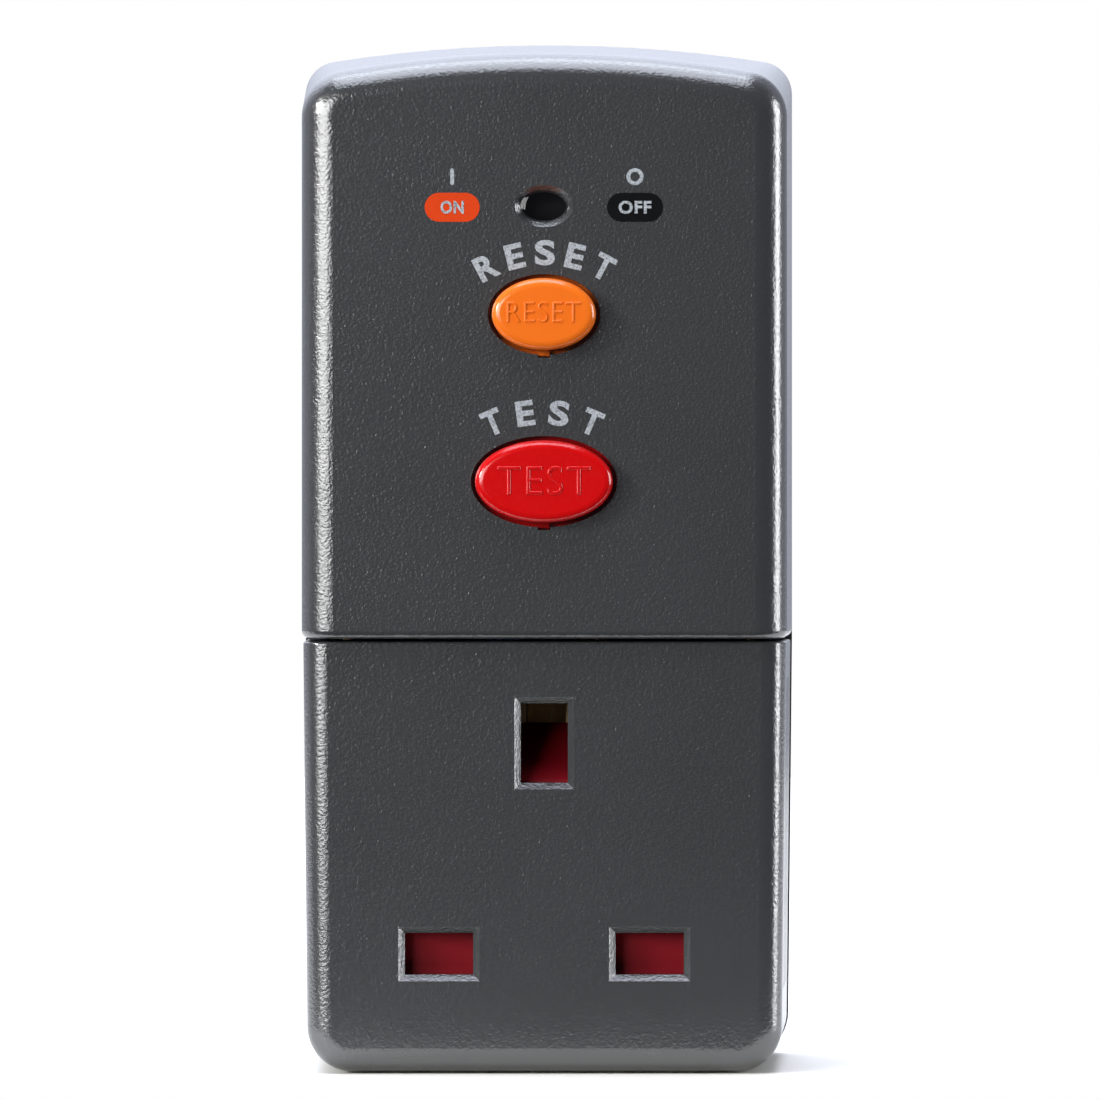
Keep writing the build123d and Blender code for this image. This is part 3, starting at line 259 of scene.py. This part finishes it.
def spring_tree():
    """Geometry tree of a coil: a helix along Z with a round wire swept along it."""
    tree = bpy.data.node_groups.new("coil_of_wire", "GeometryNodeTree")
    for name in ("Coil Radius", "Wire Radius", "Length", "Turns"):
        tree.interface.new_socket(name, in_out="INPUT", socket_type="NodeSocketFloat")
    tree.interface.new_socket("Wire", in_out="INPUT", socket_type="NodeSocketMaterial")
    tree.interface.new_socket("Mesh", in_out="OUTPUT", socket_type="NodeSocketGeometry")
    given = tree.nodes.new("NodeGroupInput").outputs
    helix = tree.nodes.new("GeometryNodeCurveSpiral")
    helix.inputs["Resolution"].default_value = steps_in_turn
    wire = tree.nodes.new("GeometryNodeCurvePrimitiveCircle")
    wire.inputs["Resolution"].default_value = sides_of_wire
    sweep = tree.nodes.new("GeometryNodeCurveToMesh")
    sweep.inputs["Fill Caps"].default_value = True
    real = tree.nodes.new("GeometryNodeRealizeInstances")
    coat = tree.nodes.new("GeometryNodeSetMaterial")
    out = tree.nodes.new("NodeGroupOutput")
    for start, end in (
        (given["Coil Radius"], helix.inputs["Start Radius"]),
        (given["Coil Radius"], helix.inputs["End Radius"]),
        (given["Length"], helix.inputs["Height"]),
        (given["Turns"], helix.inputs["Rotations"]),
        (given["Wire Radius"], wire.inputs["Radius"]),
        (helix.outputs["Curve"], sweep.inputs["Curve"]),
        (wire.outputs["Curve"], sweep.inputs["Profile Curve"]),
        (sweep.outputs["Mesh"], real.inputs["Geometry"]),
        (real.outputs["Geometry"], coat.inputs["Geometry"]),
        (given["Wire"], coat.inputs["Material"]),
        (coat.outputs["Geometry"], out.inputs["Mesh"]),
    ):
        tree.links.new(start, end)
    return tree


def grown_mesh(tree, values, name):
    """Plain mesh that a geometry tree gives for these values of its named inputs."""
    seed = bpy.data.objects.new(name, bpy.data.meshes.new(name))
    scene.collection.objects.link(seed)
    grower = seed.modifiers.new("grower", "NODES")
    grower.node_group = tree
    for item in tree.interface.items_tree:
        if item.in_out == "INPUT":
            grower[item.identifier] = values[item.name]
    shape = seed.evaluated_get(bpy.context.evaluated_depsgraph_get())
    mesh = bpy.data.meshes.new_from_object(shape)
    bpy.data.objects.remove(seed)
    return mesh


coil_of_wire = spring_tree()
for name, axis, joint, travel, still_end, wire_radius, turns in springs:
    low, high = (Vector(corner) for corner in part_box(name))
    middle = (low + high) / 2
    along = "XYZ".index(axis)
    length = high[along] - low[along]
    coil = grown_mesh(coil_of_wire, {
        "Coil Radius": (high.x - low.x) / 2 - wire_radius,
        "Wire Radius": wire_radius,
        "Length": length - 2 * wire_radius,
        "Turns": float(turns),
        "Wire": spring_steel,
    }, name + "_coil")
    start = Matrix.Translation(Vector((0, 0, wire_radius - length / 2)))
    turn = Matrix.Rotation(math.pi / 2, 4, "X") if axis == "Y" else Matrix.Identity(4)
    coil.transform(Matrix.Translation(middle) @ turn @ start)
    coil.shade_smooth()
    piece = bpy.data.objects.new(name + "_coil", coil)
    scene.collection.objects.link(piece)
    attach(piece, "housing")
    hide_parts(name)
    seat = middle.copy()
    seat[along] = (high if still_end == "high" else low)[along]
    pull = Vector((0, 0, 0))
    pull[along] = 1.0
    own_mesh(piece)

# Leads: stranded copper in glossy insulation, brown for live and blue for neutral,
# drawn through the ring core and crimped to the load bars.
for name, colour, streak in (
    ("live_lead", (0.16, 0.045, 0.018, 1.0), (0.20, 0.06, 0.025, 1.0)),
    ("neutral_lead", (0.02, 0.11, 0.45, 1.0), (0.03, 0.14, 0.52, 1.0)),
):
    dress(moulded_plastic(name + "_insulation", colour, streak, roughness=0.3,
                          grain=0.0008, depth=0.000008), name)

# Ring core and its cradle: a coated ferrite ring that both leads pass through, held in
# a natural ivory moulding on the board.
ferrite_colour = (0.02, 0.03, 0.035, 1.0)
ferrite_streak = (0.035, 0.045, 0.05, 1.0)
ivory_colour = (0.60, 0.57, 0.49, 1.0)
ivory_streak = (0.66, 0.63, 0.55, 1.0)
ferrite = moulded_plastic("core_coating", ferrite_colour, ferrite_streak, roughness=0.5,
                          grain=0.0004, depth=0.000012)
dress(ferrite, "toroid_core")
ivory = moulded_plastic("ivory_moulding", ivory_colour, ivory_streak, roughness=0.42,
                        grain=0.0006, depth=0.000008, subsurface_weight=0.05)
dress(ivory, "toroid_holder", "mechanism_frame", "button_deck")

# Windings: enamelled copper wire laid turn by turn, round the ring core and on the trip
# coil's bobbin. The wire shows as close ridges across the winding, with painted shade
# darkening the grooves between the turns.
coil_pitch = 0.00016
ring_turns = 190
copper_groove_shade = (0.23, 0.05, 0.02, 1.0)
copper_crest = (0.86, 0.32, 0.13, 1.0)
stain_scale = 500.0
stain_share = 0.3


def wound_copper(name, ridges):
    """Enamelled winding; ridges takes a Tone and gives the turn number at each place."""
    material, surface, pen = new_finish(name, metallic=0.75, coat_roughness=0.1)
    place = pen.node("ShaderNodeTexCoord", output="Object")
    turn = ridges(pen, place)
    ridge_and_groove_shade = pen.maths("SINE", turn * (2 * math.pi)) * 0.5 + 0.5
    stain = pen.node("ShaderNodeTexNoise", {"Vector": place, "Scale": stain_scale})
    # Painted shade: the colour runs from the copper's own colour on the crests to dark brown
    # in the grooves between turns, mixed with real stains.
    pen.fill(surface["Base Color"], (ridge_and_groove_shade * (1 - stain_share) + stain * stain_share)
             .between(copper_groove_shade, copper_crest))
    pen.fill(surface["Roughness"], stain * 0.2 + 0.2)
    pen.fill(surface["Coat Weight"], ridge_and_groove_shade * 0.6)
    pen.fill(surface["Normal"], pen.node("ShaderNodeBump", {
        "Height": ridge_and_groove_shade, "Distance": coil_pitch / 3, "Strength": 0.8}))
    return material


def turns_up(pen, place):
    """Turn number at a place on a coil that stands along Z."""
    parts = pen.node("ShaderNodeSeparateXYZ", {"Vector": place}, output="Z")
    return parts * (1.0 / coil_pitch)


def turns_round(pen, place):
    """Turn number at a place on the ring, counted round its axis."""
    low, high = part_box("toroid_core")
    moved = pen.node("ShaderNodeMapping", {
        "Vector": place, "Location": (0.0, -(low[1] + high[1]) / 2, 0.0)})
    across = pen.node("ShaderNodeSeparateXYZ", {"Vector": moved}, output="X")
    deep = pen.node("ShaderNodeSeparateXYZ", {"Vector": moved}, output="Y")
    return pen.maths("ARCTAN2", deep, across) * (ring_turns / (2 * math.pi))


dress(wound_copper("trip_coil_wire", turns_up), "solenoid_coil")
dress(wound_copper("ring_wire", turns_round), "toroid_winding")

# Circuit board: glass laminate under green solder resist, with the etched tracks
# showing as slightly raised lighter lines, here a made-up square pattern.
resist_dark = (0.010, 0.085, 0.025, 1.0)
resist_light = (0.028, 0.20, 0.06, 1.0)
cell_scale = 260.0
tracks_in_cell = 9.0
track_width = 0.42
track_share = 0.8
track_height = 0.00003
laminate, surface, pen = new_finish("solder_resist", coat_weight=0.4, coat_roughness=0.15)
place = pen.node("ShaderNodeTexCoord", output="Object")
cells = pen.node("ShaderNodeTexVoronoi", {"Vector": place, "Scale": cell_scale},
                 feature="F1", distance="CHEBYCHEV")
track = pen.maths("LESS_THAN", pen.maths("PINGPONG", cells * tracks_in_cell, 1.0),
                  track_width)
weave = pen.node("ShaderNodeTexNoise", {"Vector": place, "Scale": 3000.0, "Detail": 2.0})
pen.fill(surface["Base Color"], (track * track_share + weave * (1 - track_share))
         .between(resist_dark, resist_light))
pen.fill(surface["Roughness"], weave * 0.15 + 0.28)
pen.fill(surface["Normal"], pen.node("ShaderNodeBump", {
    "Height": track * track_share + weave * 0.1, "Distance": track_height,
    "Strength": 0.8}))
dress(laminate, "circuit_board")

# Parts on the board: a yellow film capacitor, a blue dipped varistor, beige coated
# resistors, and the chip and diodes in black moulding compound.
for name, colour, streak, roughness, wearers in (
    # material, colour, streak, roughness, nodes
    ("capacitor_case", (0.62, 0.36, 0.02, 1.0), (0.7, 0.43, 0.04, 1.0), 0.3,
     ("capacitor",)),
    ("varistor_dip", (0.02, 0.09, 0.42, 1.0), (0.03, 0.13, 0.5, 1.0), 0.25,
     ("varistor",)),
    ("resistor_coat", (0.5, 0.36, 0.2, 1.0), (0.58, 0.44, 0.27, 1.0), 0.35,
     ("resistors", "test_resistor")),
    ("black_compound", (0.013, 0.013, 0.014, 1.0), (0.022, 0.022, 0.024, 1.0), 0.5,
     ("control_chip", "diodes")),
):
    dress(moulded_plastic(name, colour, streak, roughness, grain=0.0004, depth=0.000008),
          *wearers)

# Carrier and bobbin: off-white heat-proof mouldings, drier and duller than the ivory
# frame that guides them.
carrier_colour = (0.68, 0.67, 0.63, 1.0)
carrier_streak = (0.75, 0.74, 0.7, 1.0)
heat_white = moulded_plastic("heat_proof_white", carrier_colour, carrier_streak,
                             roughness=0.55, grain=0.0005, depth=0.00001)
dress(heat_white, "contact_carrier", "solenoid_bobbin")

# Trip coil's yoke and plunger, the latch lever and the flag's pin: folded or turned soft
# steel with a dull plating.
steel_colour = (0.36, 0.36, 0.37, 1.0)
steel_bloom = (0.48, 0.47, 0.45, 1.0)
soft_steel = plated_metal("soft_steel", steel_colour, steel_bloom, roughness=0.4,
                          patch=0.003, scratch=(2200.0, 2200.0, 300.0))
dress(soft_steel, "solenoid_frame", "trip_plunger", "latch_lever", "flag_pin")

# Flag: a black drum with an orange band glued in its step, turned by the carrier, so
# that orange shows in the window while the contacts are closed.
drum_colour = (0.006, 0.006, 0.007, 1.0)
drum_streak = (0.012, 0.012, 0.013, 1.0)
band_colour = (0.85, 0.12, 0.01, 1.0)
band_streak = (0.9, 0.16, 0.02, 1.0)
dress(moulded_plastic("flag_black", drum_colour, drum_streak, roughness=0.45,
                      grain=0.0004, depth=0.000005), "flag_drum")
dress(moulded_plastic("flag_orange", band_colour, band_streak, roughness=0.35,
                      grain=0.0004, depth=0.000004), "flag_band")

# Window: a smoked clear lens pressed into the cover from behind, polished, with a faint
# unevenness that bends the reflections. Its domed front takes the place of a flat one.
smoke_dark = (0.004, 0.004, 0.005, 1.0)
smoke_light = (0.010, 0.010, 0.012, 1.0)
ripple_scale = 420.0
ripple_depth = 0.00006
lens_dome = 0.0007
lens_steepness = 4
lens_sides = 64
lens_rings = 12
lens_crease = math.radians(35)
smoke, surface, pen = new_finish("smoked_lens", alpha=0.35, ior=1.49,
                                 coat_weight=1.0, coat_roughness=0.02)
place = pen.node("ShaderNodeTexCoord", output="Object")
ripple = pen.node("ShaderNodeTexNoise", {"Vector": place, "Scale": ripple_scale,
                                         "Detail": 1.0})
pen.fill(surface["Base Color"], ripple.between(smoke_dark, smoke_light))
pen.fill(surface["Roughness"], ripple * 0.05 + 0.02)
pen.fill(surface["Normal"], pen.node("ShaderNodeBump", {
    "Height": ripple, "Distance": ripple_depth, "Strength": 0.6}))
low, high = (Vector(corner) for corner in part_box("window_lens"))
middle = (low + high) / 2
shares = [ring / lens_rings for ring in range(lens_rings, 0, -1)]
profile = [(1.0, high.y)]
profile += [(share, low.y + lens_dome * share ** lens_steepness) for share in shares]
corners = [2 * math.pi * side / lens_sides for side in range(lens_sides)]
lens = bmesh.new()
rings = []
for share, depth in profile:
    rings.append([lens.verts.new((middle.x + share * (high.x - middle.x) * math.cos(angle),
                                  depth,
                                  middle.z + share * (high.z - middle.z) * math.sin(angle)))
                  for angle in corners])
for inner, outer in zip(rings, rings[1:]):
    for side in range(lens_sides):
        after = (side + 1) % lens_sides
        lens.faces.new((inner[side], inner[after], outer[after], outer[side]))
lens.faces.new(rings[0])
lens.faces.new(rings[-1])
bmesh.ops.recalc_face_normals(lens, faces=lens.faces)
lens_mesh = bpy.data.meshes.new("domed_lens")
lens.to_mesh(lens_mesh)
lens.free()
lens_mesh.shade_smooth()
lens_mesh.set_sharp_from_angle(angle=lens_crease)
lens_mesh.materials.append(smoke)
domed_lens = bpy.data.objects.new("domed_lens", lens_mesh)
scene.collection.objects.link(domed_lens)
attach(domed_lens, "housing")
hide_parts("window_lens")

# Push buttons: oval caps moulded in orange and in red, each with the word for its
# function standing a hair proud of its face. The skin is smoother than the casing's.
# A slope and a weight are in the typeface's own units.
word_height = 0.00011
word_slope = 0.026
word_weight = -0.028
word_spacing = 1.08
curve_steps = 5
before_cap = -1.0
button_words = (
    # node, body, record slot, word, width, height, middle height, material
    ("reset_button", "reset", "reset_plastic", "RESET", 0.0078, 0.0022, 0.0676,
     moulded_plastic("reset_orange", (0.86, 0.155, 0.009, 1.0), (0.92, 0.180, 0.011, 1.0),
                     roughness=0.2, grain=0.0007, depth=0.000004, subsurface_weight=0.06,
                     specular_ior_level=0.6)),
    ("test_button", "test", "test_plastic", "TEST", 0.0098, 0.00305, 0.0499,
     moulded_plastic("test_red", (0.55, 0.0015, 0.002, 1.0), (0.62, 0.002, 0.003, 1.0),
                     roughness=0.18, grain=0.0007, depth=0.000004, subsurface_weight=0.04,
                     specular_ior_level=0.6)),
)


def cut_letters(text, width, height, weight, thickness, spacing=1.0, edge=0.0):
    """Letters of the built-in typeface as a closed mesh of that width and height, about
    their middle, standing in X and Z with their face towards -Y. With an edge their
    sides slope, and without one they are straight."""
    script = bpy.data.curves.new("letters", "FONT")
    script.body = text
    script.offset = weight
    script.extrude = 0.0 if edge else 0.5
    script.bevel_depth = edge
    script.resolution_u = curve_steps
    script.space_character = spacing
    holder = bpy.data.objects.new("letters", script)
    scene.collection.objects.link(holder)
    shape = holder.evaluated_get(bpy.context.evaluated_depsgraph_get())
    mesh = bpy.data.meshes.new_from_object(shape)
    bpy.data.objects.remove(holder)
    corners = [vertex.co for vertex in mesh.vertices]
    low = Vector(min(corner[i] for corner in corners) for i in range(3))
    high = Vector(max(corner[i] for corner in corners) for i in range(3))
    spread = high - low
    mesh.transform(Matrix.Rotation(math.pi / 2, 4, "X")
                   @ Matrix.Diagonal((width / spread.x, height / spread.y,
                                       thickness / spread.z, 1.0))
                   @ Matrix.Translation(-(low + high) / 2))
    return mesh


for name, body, slot_name, word, width, height, middle, material in button_words:
    dress(material, name)
    letters = cut_letters(word, width, height, word_weight, 2 * word_height,
                          spacing=word_spacing, edge=word_slope)
    letters.transform(Matrix.Translation((0, 0, middle)))
    letters.shade_flat()
    cap = BVHTree.FromObject(nodes[name], bpy.context.evaluated_depsgraph_get())
    for vertex in letters.vertices:
        start = Vector((vertex.co.x, before_cap, vertex.co.z))
        vertex.co.y += cap.ray_cast(start, Vector((0, 1, 0)))[0].y
    letters.materials.append(material)
    raised = bpy.data.objects.new(name + "_word", letters)
    scene.collection.objects.link(raised)
    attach(raised, body)

# Printing: pad-printed marks on the control cover, in a pale grey-blue ink, with two
# pill-shaped patches that carry ON and OFF and a plain stroke and ring over them. The
# ink lies a few hundredths of a millimetre proud of the grained face.
ink_height = 0.00003
ink_sink = 0.00001
ink_colour = (0.44, 0.475, 0.51, 1.0)
ink_worn = (0.13, 0.14, 0.15, 1.0)
ink_scale = 6000.0
ink_contrast = 4.5
ink_threshold = 1.4
face_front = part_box("control_cover")[0][1]
letter_weight = 0.034
arcs = (
    # word, across, height of the arc's centre, radius, degrees from letter to letter
    ("RESET", 0.0001, 0.0606, 0.0133, 13.8),
    ("TEST", -0.0002, 0.0438, 0.0133, 15.4),
)
arc_letter_height = 0.00268
arc_letter_widths = {"R": 0.00225, "E": 0.0019, "S": 0.00215, "T": 0.0021}
pill_height = 0.00305
pill_middle = 0.07868
pill_spacing = 1.1
pill_steps = 16
pills = (
    # name, across, width, ink colours, word, word width, word height
    ("on_pill", -0.00967, 0.0058, (0.68, 0.050, 0.004, 1.0), (0.58, 0.050, 0.006, 1.0),
     "ON", 0.00245, 0.00137),
    ("off_pill", 0.00958, 0.0059, (0.001, 0.0012, 0.0015, 1.0), (0.002, 0.0025, 0.003, 1.0),
     "OFF", 0.00345, 0.00137),
)
mark_middle = 0.0819
mark_height = 0.0018
mark_stroke = 0.0004


def printing_ink(name, colour, worn):
    """Pad-printing ink: thin in places, with a fine grain of its own."""
    material, surface, pen = new_finish(name, specular_ior_level=0.25)
    place = pen.node("ShaderNodeTexCoord", output="Object")
    thin = pen.node("ShaderNodeTexNoise", {"Vector": place, "Scale": ink_scale,
                                           "Detail": 2.0})
    pen.fill(surface["Base Color"],
             (thin * ink_contrast - ink_threshold).between(worn, colour))
    pen.fill(surface["Roughness"], thin * 0.2 + 0.22)
    pen.fill(surface["Normal"], pen.node("ShaderNodeBump", {
        "Height": thin, "Distance": 0.00001, "Strength": 0.8}))
    return material


def print_piece(name, mesh, material):
    """A printed mark that rides with the casing."""
    mesh.materials.clear()
    mesh.materials.append(material)
    mark = bpy.data.objects.new(name, mesh)
    scene.collection.objects.link(mark)
    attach(mark, "housing")


def joined(meshes):
    """One mesh of several."""
    whole = bmesh.new()
    for mesh in meshes:
        whole.from_mesh(mesh)
    mesh = bpy.data.meshes.new("marks")
    whole.to_mesh(mesh)
    whole.free()
    return mesh


def outline_plate(points, hole, thickness):
    """Flat plate in X and Z, facing -Y, from an outline, with a like hole or none."""
    plate = bmesh.new()
    rings = []
    for ring in (points, hole) if hole else (points,):
        for y in (-thickness / 2, thickness / 2):
            rings.append([plate.verts.new((x, y, z)) for x, z in ring])
    count = len(points)
    if hole:
        front, back, front_hole, back_hole = rings
    else:
        front, back = rings
        plate.faces.new(front)
        plate.faces.new(back[::-1])
    for i in range(count):
        j = (i + 1) % count
        plate.faces.new((front[j], front[i], back[i], back[j]))
        if hole:
            plate.faces.new((front_hole[i], front_hole[j], back_hole[j], back_hole[i]))
            plate.faces.new((front[i], front[j], front_hole[j], front_hole[i]))
            plate.faces.new((back[j], back[i], back_hole[i], back_hole[j]))
    bmesh.ops.recalc_face_normals(plate, faces=plate.faces)
    mesh = bpy.data.meshes.new("plate")
    plate.to_mesh(mesh)
    plate.free()
    return mesh


def pill_outline(width, height):
    """Points of a round-ended outline about its middle."""
    points = []
    for end, first in ((1, -90), (-1, 90)):
        for step in range(pill_steps + 1):
            angle = math.radians(first + 180 * step / pill_steps)
            points.append((end * (width - height) / 2 + height / 2 * math.cos(angle),
                           height / 2 * math.sin(angle)))
    return points


pale_ink = printing_ink("pale_ink", ink_colour, ink_worn)
ink_thickness = ink_height + ink_sink
ink_middle = face_front - (ink_height - ink_sink) / 2
for word, across, centre, radius, step in arcs:
    placed = []
    for number, letter in enumerate(word):
        angle = math.radians(step * (number - (len(word) - 1) / 2))
        mesh = cut_letters(letter, arc_letter_widths[letter], arc_letter_height,
                           letter_weight, ink_thickness)
        mesh.transform(Matrix.Translation((across, ink_middle, centre))
                       @ Matrix.Rotation(angle, 4, "Y")
                       @ Matrix.Translation((0, 0, radius)))
        placed.append(mesh)
    print_piece(word.lower() + "_label", joined(placed), pale_ink)
for name, across, width, colour, worn, word, word_width, word_tall in pills:
    patch = outline_plate(pill_outline(width, pill_height), None, ink_thickness)
    patch.transform(Matrix.Translation((across, ink_middle, pill_middle)))
    print_piece(name, patch, printing_ink(name + "_ink", colour, worn))
    letters = cut_letters(word, word_width, word_tall, letter_weight, ink_thickness,
                          pill_spacing)
    letters.transform(Matrix.Translation((across, ink_middle - ink_height, pill_middle)))
    print_piece(name + "_word", letters, pale_ink)
stroke = outline_plate(pill_outline(mark_height, mark_stroke), None, ink_thickness)
stroke.transform(Matrix.Translation((pills[0][1], ink_middle, mark_middle))
                 @ Matrix.Rotation(math.pi / 2, 4, "Y"))
print_piece("on_mark", stroke, pale_ink)
ring_bore = mark_height - 2 * mark_stroke
ring = outline_plate(pill_outline(mark_height, mark_height),
                     pill_outline(ring_bore, ring_bore), ink_thickness)
ring.transform(Matrix.Translation((pills[1][1], ink_middle, mark_middle)))
print_piece("off_mark", ring, pale_ink)

# Stage: a plain pale floor under the standing adapter. Its disc lies mostly behind the
# adapter and ends just before the face, so that it throws little light on the face.
floor_radius = 0.6
floor_middle = 0.54
floor_sides = 96
floor_colour = (0.92, 0.90, 0.84, 1.0)
floor_speckle = (0.90, 0.88, 0.82, 1.0)
floor_mesh = bpy.data.meshes.new("floor")
rim = [2 * math.pi * side / floor_sides for side in range(floor_sides)]
floor_mesh.from_pydata([(floor_radius * math.cos(angle),
                         floor_middle + floor_radius * math.sin(angle),
                         cad_box[0][2]) for angle in rim], [], [range(floor_sides)])
floor = bpy.data.objects.new("floor", floor_mesh)
scene.collection.objects.link(floor)
floor_paint, surface, pen = new_finish("pale_floor", roughness=0.6, specular_ior_level=0.2)
place = pen.node("ShaderNodeTexCoord", output="Object")
speckle = pen.node("ShaderNodeTexNoise", {"Vector": place, "Scale": 40.0, "Detail": 4.0})
pen.fill(surface["Base Color"], speckle.between(floor_speckle, floor_colour))
floor_mesh.materials.append(floor_paint)

# Room: white to the camera. As light it is dim in front, brighter behind the adapter, and
# brightest high up behind it, where the casing's rounded top edge mirrors it.
white = (1.0, 1.0, 1.0, 1.0)
room_colour = (0.81, 0.855, 1.0, 1.0)
front_glow = 0.05
room_glow = 0.5
sky_glow = 4.0
room = bpy.data.worlds.new("studio")
scene.world = room
room.use_nodes = True
room_tree = room.node_tree
room_tree.nodes.clear()
air = Tone(room_tree)
seen = air.node("ShaderNodeBackground", {"Color": white, "Strength": 1.0})
compass = air.node("ShaderNodeTexCoord", output="Generated")
behind, left_end, right_end, above = (
    air.node("ShaderNodeMapRange", {
        "Value": air.node("ShaderNodeSeparateXYZ", {0: compass}, output=axis),
        "From Min": dark, "From Max": bright}, interpolation_type=blend)
    for axis, dark, bright, blend in (
        # axis, where the light begins and is full along it, how it blends
        ("Y", -0.2, 0.2, "SMOOTHSTEP"),
        ("X", -0.95, -0.55, "SMOOTHSTEP"),
        ("X", 0.45, 0.1, "SMOOTHSTEP"),
        ("Z", 0.0, 0.9, "LINEAR"),
    ))
sky = above * left_end * right_end * sky_glow
cast = air.node("ShaderNodeBackground", {
    "Color": room_colour, "Strength": behind * (sky + room_glow) + front_glow})
camera_ray = air.node("ShaderNodeLightPath", output="Is Camera Ray")
both = air.node("ShaderNodeMixShader", {0: camera_ray, 1: cast, 2: seen})
room_out = room_tree.nodes.new("ShaderNodeOutputWorld")
room_tree.links.new(both.socket, room_out.inputs["Surface"])
scene.view_settings.view_transform = "Standard"

# Lamps: four soft boxes, for the left edge and the face, for the caps' shadows, for the
# right edge and the right flank, and for the top.
lamps = (
    # name, place, target, width, height, power, colour
    ("left_box", (-0.80, -1.12, 0.30), (0.0, -0.03, 0.05), 0.90, 0.6, 14.5,
     (1.0, 1.0, 1.0)),
    ("key", (-1.12, -0.68, 0.47), (0.0, -0.04, 0.05), 0.26, 0.26, 12.0,
     (1.0, 0.99, 0.97)),
    ("right_strip", (1.27, -0.09, 0.27), (0.0, -0.03, 0.05), 0.46, 0.72, 11.0,
     (0.96, 0.98, 1.0)),
    ("overhead", (-0.1, -0.34, 1.27), (-0.1, -0.339, 0.0), 0.9, 1.06, 14.5,
     (0.84, 0.885, 1.0)),
)
for name, spot, target, width, height, power, colour in lamps:
    light = bpy.data.lights.new(name, "AREA")
    light.shape = "RECTANGLE"
    light.size, light.size_y = width, height
    light.energy = power
    light.color = colour
    lamp = bpy.data.objects.new(name, light)
    scene.collection.objects.link(lamp)
    lamp.location = spot
    lamp.rotation_euler = (Vector(target) - Vector(spot)).to_track_quat("-Z", "Y").to_euler()

# Camera: level and square to the face, a little to its right, so that the right flank
# just shows. The frame is moved sideways to centre the adapter in it.
camera_distance = 0.9
camera_side = 0.015
camera_height = 0.0426
frame_middle = 0.00063
frame_width = 0.1158
eye = bpy.data.cameras.new("camera")
eye.sensor_width = 36.0
eye.lens = eye.sensor_width * camera_distance / frame_width
eye.shift_x = (frame_middle - camera_side) / frame_width
eye.clip_start = 0.05
camera = bpy.data.objects.new("camera", eye)
scene.collection.objects.link(camera)
camera.location = (camera_side, face_front - camera_distance, camera_height)
camera.rotation_euler = (math.pi / 2, 0.0, 0.0)
scene.camera = camera
